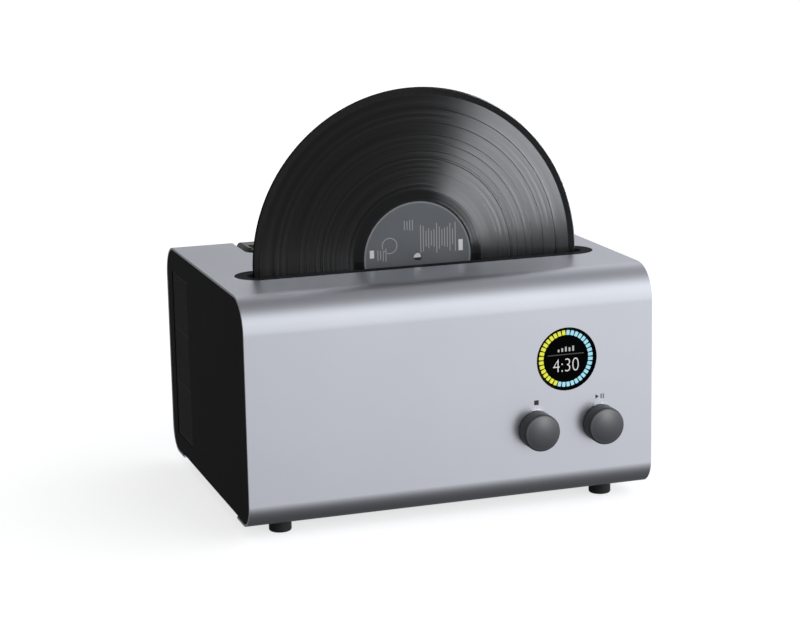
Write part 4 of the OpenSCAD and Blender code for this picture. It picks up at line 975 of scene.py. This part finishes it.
# %% Label
PRINT_PROUD = 0.02 * MM
PRINT_PITCH, PRINT_LINE = 2.5 * MM, 0.8 * MM
FIRST_SEED = 7
# name, place from the spindle, number of lines, shortest and longest, in millimetres
PRINT_GROUPS = (("titles", -12, 29, 4, 6, 10), ("songs", 3, 16, 14, 12, 28),
                ("credits", -30, -22, 22, 4, 14), ("notes", -37, 4, 4, 6, 12))
# left, right, bottom and top from the spindle
PALE_BLOCKS = ((38.5, 42.5, 3.0, 13.0), (-44.5, -40.5, 2.0, 9.0))
# name, inner and outer radius, place from the spindle, ink
LABEL_RINGS = (("rim", 48.3, 49.5, 0, 0, "rim_ink"),
               ("emblem", 6.4, 7.2, -26, 12, "label_ink"))
RING_STEPS = 96


def from_spindle(x_mm, z_mm, y):
    return (DISC.x + x_mm * MM, y, DISC.z + z_mm * MM)


def ring_sheet(name, centre, inner_mm, outer_mm, front_y, back_y):
    """A flat closed ring that faces the front."""
    work = bmesh.new()
    turns = [2 * math.pi * i / RING_STEPS for i in range(RING_STEPS)]
    loops = [[work.verts.new((centre[0] + radius * MM * math.sin(t), y,
                              centre[2] + radius * MM * math.cos(t))) for t in turns]
             for radius, y in ((inner_mm, front_y), (outer_mm, front_y),
                               (outer_mm, back_y), (inner_mm, back_y))]
    for a, b in zip(loops, loops[1:] + loops[:1]):
        wall(work, a, b)
    return keep_outward(work, bpy.data.meshes.new(name))


def print_label(side):
    node = "label_" + side
    dressed(node, "label_paper")
    low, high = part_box(node)
    face = low.y if side == "front" else high.y
    front_y, back_y = face - PRINT_PROUD, face + PRINT_PROUD
    for part, x, z, count, shortest, longest in PRINT_GROUPS:
        name = f"label_{part}_{side}"
        mesh = cook(printed_lines, name, {
            "Count": count, "Seed": FIRST_SEED + count, "Pitch": PRINT_PITCH,
            "Line width": PRINT_LINE, "Thickness": 2 * PRINT_PROUD,
            "Shortest": shortest * MM, "Longest": longest * MM,
            "First line": from_spindle(x, z, face), "Material": FINISH["label_ink"]})
        settle(name, mesh, BODY_OF[node])
    blocks = [(from_spindle(x0, z0, front_y), from_spindle(x1, z1, back_y))
              for x0, x1, z0, z1 in PALE_BLOCKS]
    name = "label_blocks_" + side
    piece(name, boxes(name, blocks, 0.01), node, "block_ink")
    for part, inner, outer, x, z, ink in LABEL_RINGS:
        name = f"label_{part}_{side}"
        ring = ring_sheet(name, from_spindle(x, z, face), inner, outer, front_y, back_y)
        piece(name, ring, node, ink)


for side in ("front", "rear"):
    print_label(side)

# %% [markdown]
# ## Display
# Behind the round black window a ring of short bars counts the minutes, one arc cyan and
# one arc yellow, with the remaining time in the middle. Each bar is one segment of the
# ring recipe. Unlit plastic between two bars still glows a little, so a wider, dimmer
# bar lies behind each one.

# %% Display
eased("display_bezel", "display_black", edge_mm=0.15)
dressed("display_glass", "display_black")
WINDOW = middle("display_glass")
WINDOW_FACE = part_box("display_glass")[0].y
WINDOW_RADIUS = 28 * MM
RING_RADIUS = 0.8225 * WINDOW_RADIUS
BAR_LENGTH, BAR_WIDTH, BAR_CORNER = 4.2 * MM, 3.0 * MM, 0.45 * MM
BAR_PITCH = math.radians(10)
BAR_PROUD, GLOW_PROUD, SUNK = 0.10 * MM, 0.05 * MM, 0.05 * MM
GLOW_LONGER = 0.5 * MM


def light_arc(name, count, first, width, length, proud, material):
    mesh = cook(bars_in_a_ring, name, {
        "Count": count, "First angle": first, "Pitch angle": BAR_PITCH,
        "Ring radius": RING_RADIUS, "Bar width": width, "Bar length": length,
        "Corner": BAR_CORNER, "Thickness": proud + SUNK, "Material": FINISH[material],
        "Centre": (WINDOW.x, WINDOW_FACE + SUNK, WINDOW.z)})
    settle(name, mesh, BODY_OF["display_glass"])


for colour, count, degrees, bright, dim in (
        ("cyan", 20, 5, "lit_cyan", "dim_teal"),
        ("yellow", 16, 205, "lit_yellow", "dim_olive")):
    first, slot = math.radians(degrees), "display_" + colour
    light_arc("bars_" + colour, count, first, BAR_WIDTH, BAR_LENGTH, BAR_PROUD, bright)
    light_arc("glow_" + colour, count, first, BAR_PITCH * RING_RADIUS,
              BAR_LENGTH + GLOW_LONGER, GLOW_PROUD, dim)

# %% Figures in the middle
TYPE_PROUD = 0.05 * MM
TYPE_THINNED = -0.018
LINE_PROUD = 0.06 * MM
# in millimetres from the window's middle
LINE_HALF, LINE_BOTTOM, LINE_TOP = 16.8, 3.25, 3.95
LEVEL_BARS = (2.2, 3.2, 4.2, 3.4, 4.6)
LEVEL_LEFT, LEVEL_PITCH, LEVEL_WIDTH, LEVEL_FOOT = -7.6, 3.4, 1.6, 6.2


def figures(name, text, height, width, centre_z, material):
    """Numbers set in the program's own plain type, raised a little from the window."""
    curve = bpy.data.curves.new(name, "FONT")
    curve.body = text
    curve.align_x = curve.align_y = "CENTER"
    curve.extrude = TYPE_PROUD
    curve.offset = TYPE_THINNED
    typed = add_object(name + "_type", curve)
    flat = plain_mesh(typed, name)
    bpy.data.objects.remove(typed)
    xs = [v.co.x for v in flat.vertices]
    ys = [v.co.y for v in flat.vertices]
    across, up = width / (max(xs) - min(xs)), height / (max(ys) - min(ys))
    mid_x, mid_y = (max(xs) + min(xs)) / 2, (max(ys) + min(ys)) / 2
    for vert in flat.vertices:
        x, y, z = vert.co
        vert.co = (WINDOW.x + (x - mid_x) * across, WINDOW_FACE - z,
                   centre_z + (y - mid_y) * up)
    piece(name, outward(flat), "display_glass", material)


def window_boxes(name, rectangles, material):
    """Flat bars on the window, each from left, right, bottom and top in millimetres."""
    pairs = [((WINDOW.x + x0 * MM, WINDOW_FACE - LINE_PROUD, WINDOW.z + z0 * MM),
              (WINDOW.x + x1 * MM, WINDOW_FACE + SUNK, WINDOW.z + z1 * MM))
             for x0, x1, z0, z1 in rectangles]
    piece(name, boxes(name, pairs, 0.02), "display_glass", material)


figures("minutes_left", "4:30", height=11.5 * MM, width=24 * MM,
        centre_z=WINDOW.z - 5.8 * MM, material="lit_white")
window_boxes("display_line", [(-LINE_HALF, LINE_HALF, LINE_BOTTOM, LINE_TOP)], "line_grey")
level_lefts = [LEVEL_LEFT + step * LEVEL_PITCH for step in range(len(LEVEL_BARS))]
window_boxes("display_level", [
    (x, x + LEVEL_WIDTH, LEVEL_FOOT, LEVEL_FOOT + tall)
    for x, tall in zip(level_lefts, LEVEL_BARS)], "lit_grey")
dressed("display_module", "dark_moulding")
dressed("control_board", "circuit_green")

# %% [markdown]
# ## Knobs and their marks
# The two knobs are turned plastic caps with a shallow dome. Above each one is a printed
# sign that every tape machine has used: a square for stop, a triangle for start, with
# two bars beside it for pause. The ink stands less than a tenth of a millimetre proud.

# %% Knobs
for side in ("left", "right"):
    eased("knob_" + side, "knob_finish", edge_mm=0.2)
    dressed("shaft_" + side, "zinc_plate")
    dressed("plunger_" + side, "white_moulding")
    dressed("encoder_" + side, "dark_moulding")
dressed("bush_nuts", "zinc_plate")
LEFT_MARK, RIGHT_MARK = middle("knob_left").x, middle("knob_right").x

# %% Printed marks
INK = 0.06 * MM
MARK_Z = UNDERSIDE + 86.8 * MM
MARK_HALF = 2.1
TRIANGLE_FROM, TRIANGLE_TO = -4.6, -1.5
PAUSE_BARS, PAUSE_WIDTH = (0.2, 2.3), 1.1


def printed(name, centre_x, outlines, material):
    """Flat signs on the front face, each a polygon of X and Z in millimetres."""
    work = bmesh.new()
    for outline in outlines:
        front, back = ([work.verts.new((centre_x + x * MM, y, MARK_Z + z * MM))
                        for x, z in outline] for y in (FRONT - INK, FRONT + INK / 2))
        work.faces.new(front)
        work.faces.new(back[::-1])
        wall(work, front, back)
    mesh = keep_outward(work, bpy.data.meshes.new(name))
    piece(name, mesh, "shell", material)


def upright_box(x0, x1):
    return [(x0, -MARK_HALF), (x1, -MARK_HALF), (x1, MARK_HALF), (x0, MARK_HALF)]


printed("stop_mark", LEFT_MARK, [upright_box(-MARK_HALF, MARK_HALF)], "front_ink")
printed("start_mark", RIGHT_MARK, [[(TRIANGLE_FROM, -MARK_HALF), (TRIANGLE_TO, 0),
                                    (TRIANGLE_FROM, MARK_HALF)]], "front_ink")
printed("pause_mark", RIGHT_MARK, [upright_box(x, x + PAUSE_WIDTH) for x in PAUSE_BARS],
        "pale_ink")

# %% [markdown]
# ## Which light falls on what
# Light linking gives each soft box a collection of the pieces that it may light. It is
# filled by name, now that the record, the label and the knobs are there.

# %% What each soft box lights


def light_only(box, start):
    """Keeps a soft box's light on the pieces whose names start with a word."""
    lit = bpy.data.collections.new("lit_by_" + box.name)
    for thing in bpy.data.objects:
        if thing.type == "MESH" and thing.name.startswith(start):
            lit.objects.link(thing)
    box.light_linking.receiver_collection = lit


light_only(groove_box, "pressed_disc")
light_only(label_box, "label_")
light_only(knob_box, "knob_")

# %% [markdown]
# ## Water tank
# The tank stands in a bay at the rear and lifts out by the rim at the front of its neck.
# It is a smoky, satin moulding, and the bay behind it is a plain dark one.

# %% Tank
for node, material, edge in (("water_tank", "tank_moulding", 0.5),
                             ("tank_lid", "smoked_moulding", 0.4),
                             ("tank_bay", "bay_moulding", 0.3)):
    eased(node, material, edge_mm=edge, segments=3)
dressed("filter_cartridge", "pleated_fleece")
dressed("tank_valve", "white_moulding")
dressed("dock_seal", "red_silicone")

# %% [markdown]
# ## Inner works
# Little of this shows from outside, but the tub's rim and the guide blocks do through
# the slot, the fans do through the vents, and the inlet and switch are on the rear face.

# %% Inner works
INNER = {
    "natural_acetal": ("record_guides", "roller_gear"),
    "brushed_tub": ("wash_bath",), "turned_aluminium": ("transducer_horns",),
    "fired_ceramic": ("piezo_rings",), "dark_steel": ("back_masses",),
    "blue_rubber": ("drive_roller", "idler_roller"),
    "zinc_plate": ("drive_shaft", "idler_shaft", "motor_bracket", "power_supply"),
    "brass": ("motor_pinion", "shaft_bushes"), "motor_paint": ("drive_motor",),
    "clear_hose": ("suction_hose", "return_hose"),
    "circuit_green": ("generator_board",),
    "dark_moulding": ("bath_saddles", "pump", "fan_frames", "fan_rotor_upper",
                      "fan_rotor_lower", "air_duct"),
}
for material, nodes in INNER.items():
    for node in nodes:
        dressed(node, material)
for node in ("mains_inlet", "switch_frame"):
    eased(node, "vent_moulding", edge_mm=0.2)
eased("power_rocker", "gloss_moulding", edge_mm=0.2)
print("inner pieces:", sum(len(nodes) for nodes in INNER.values()))
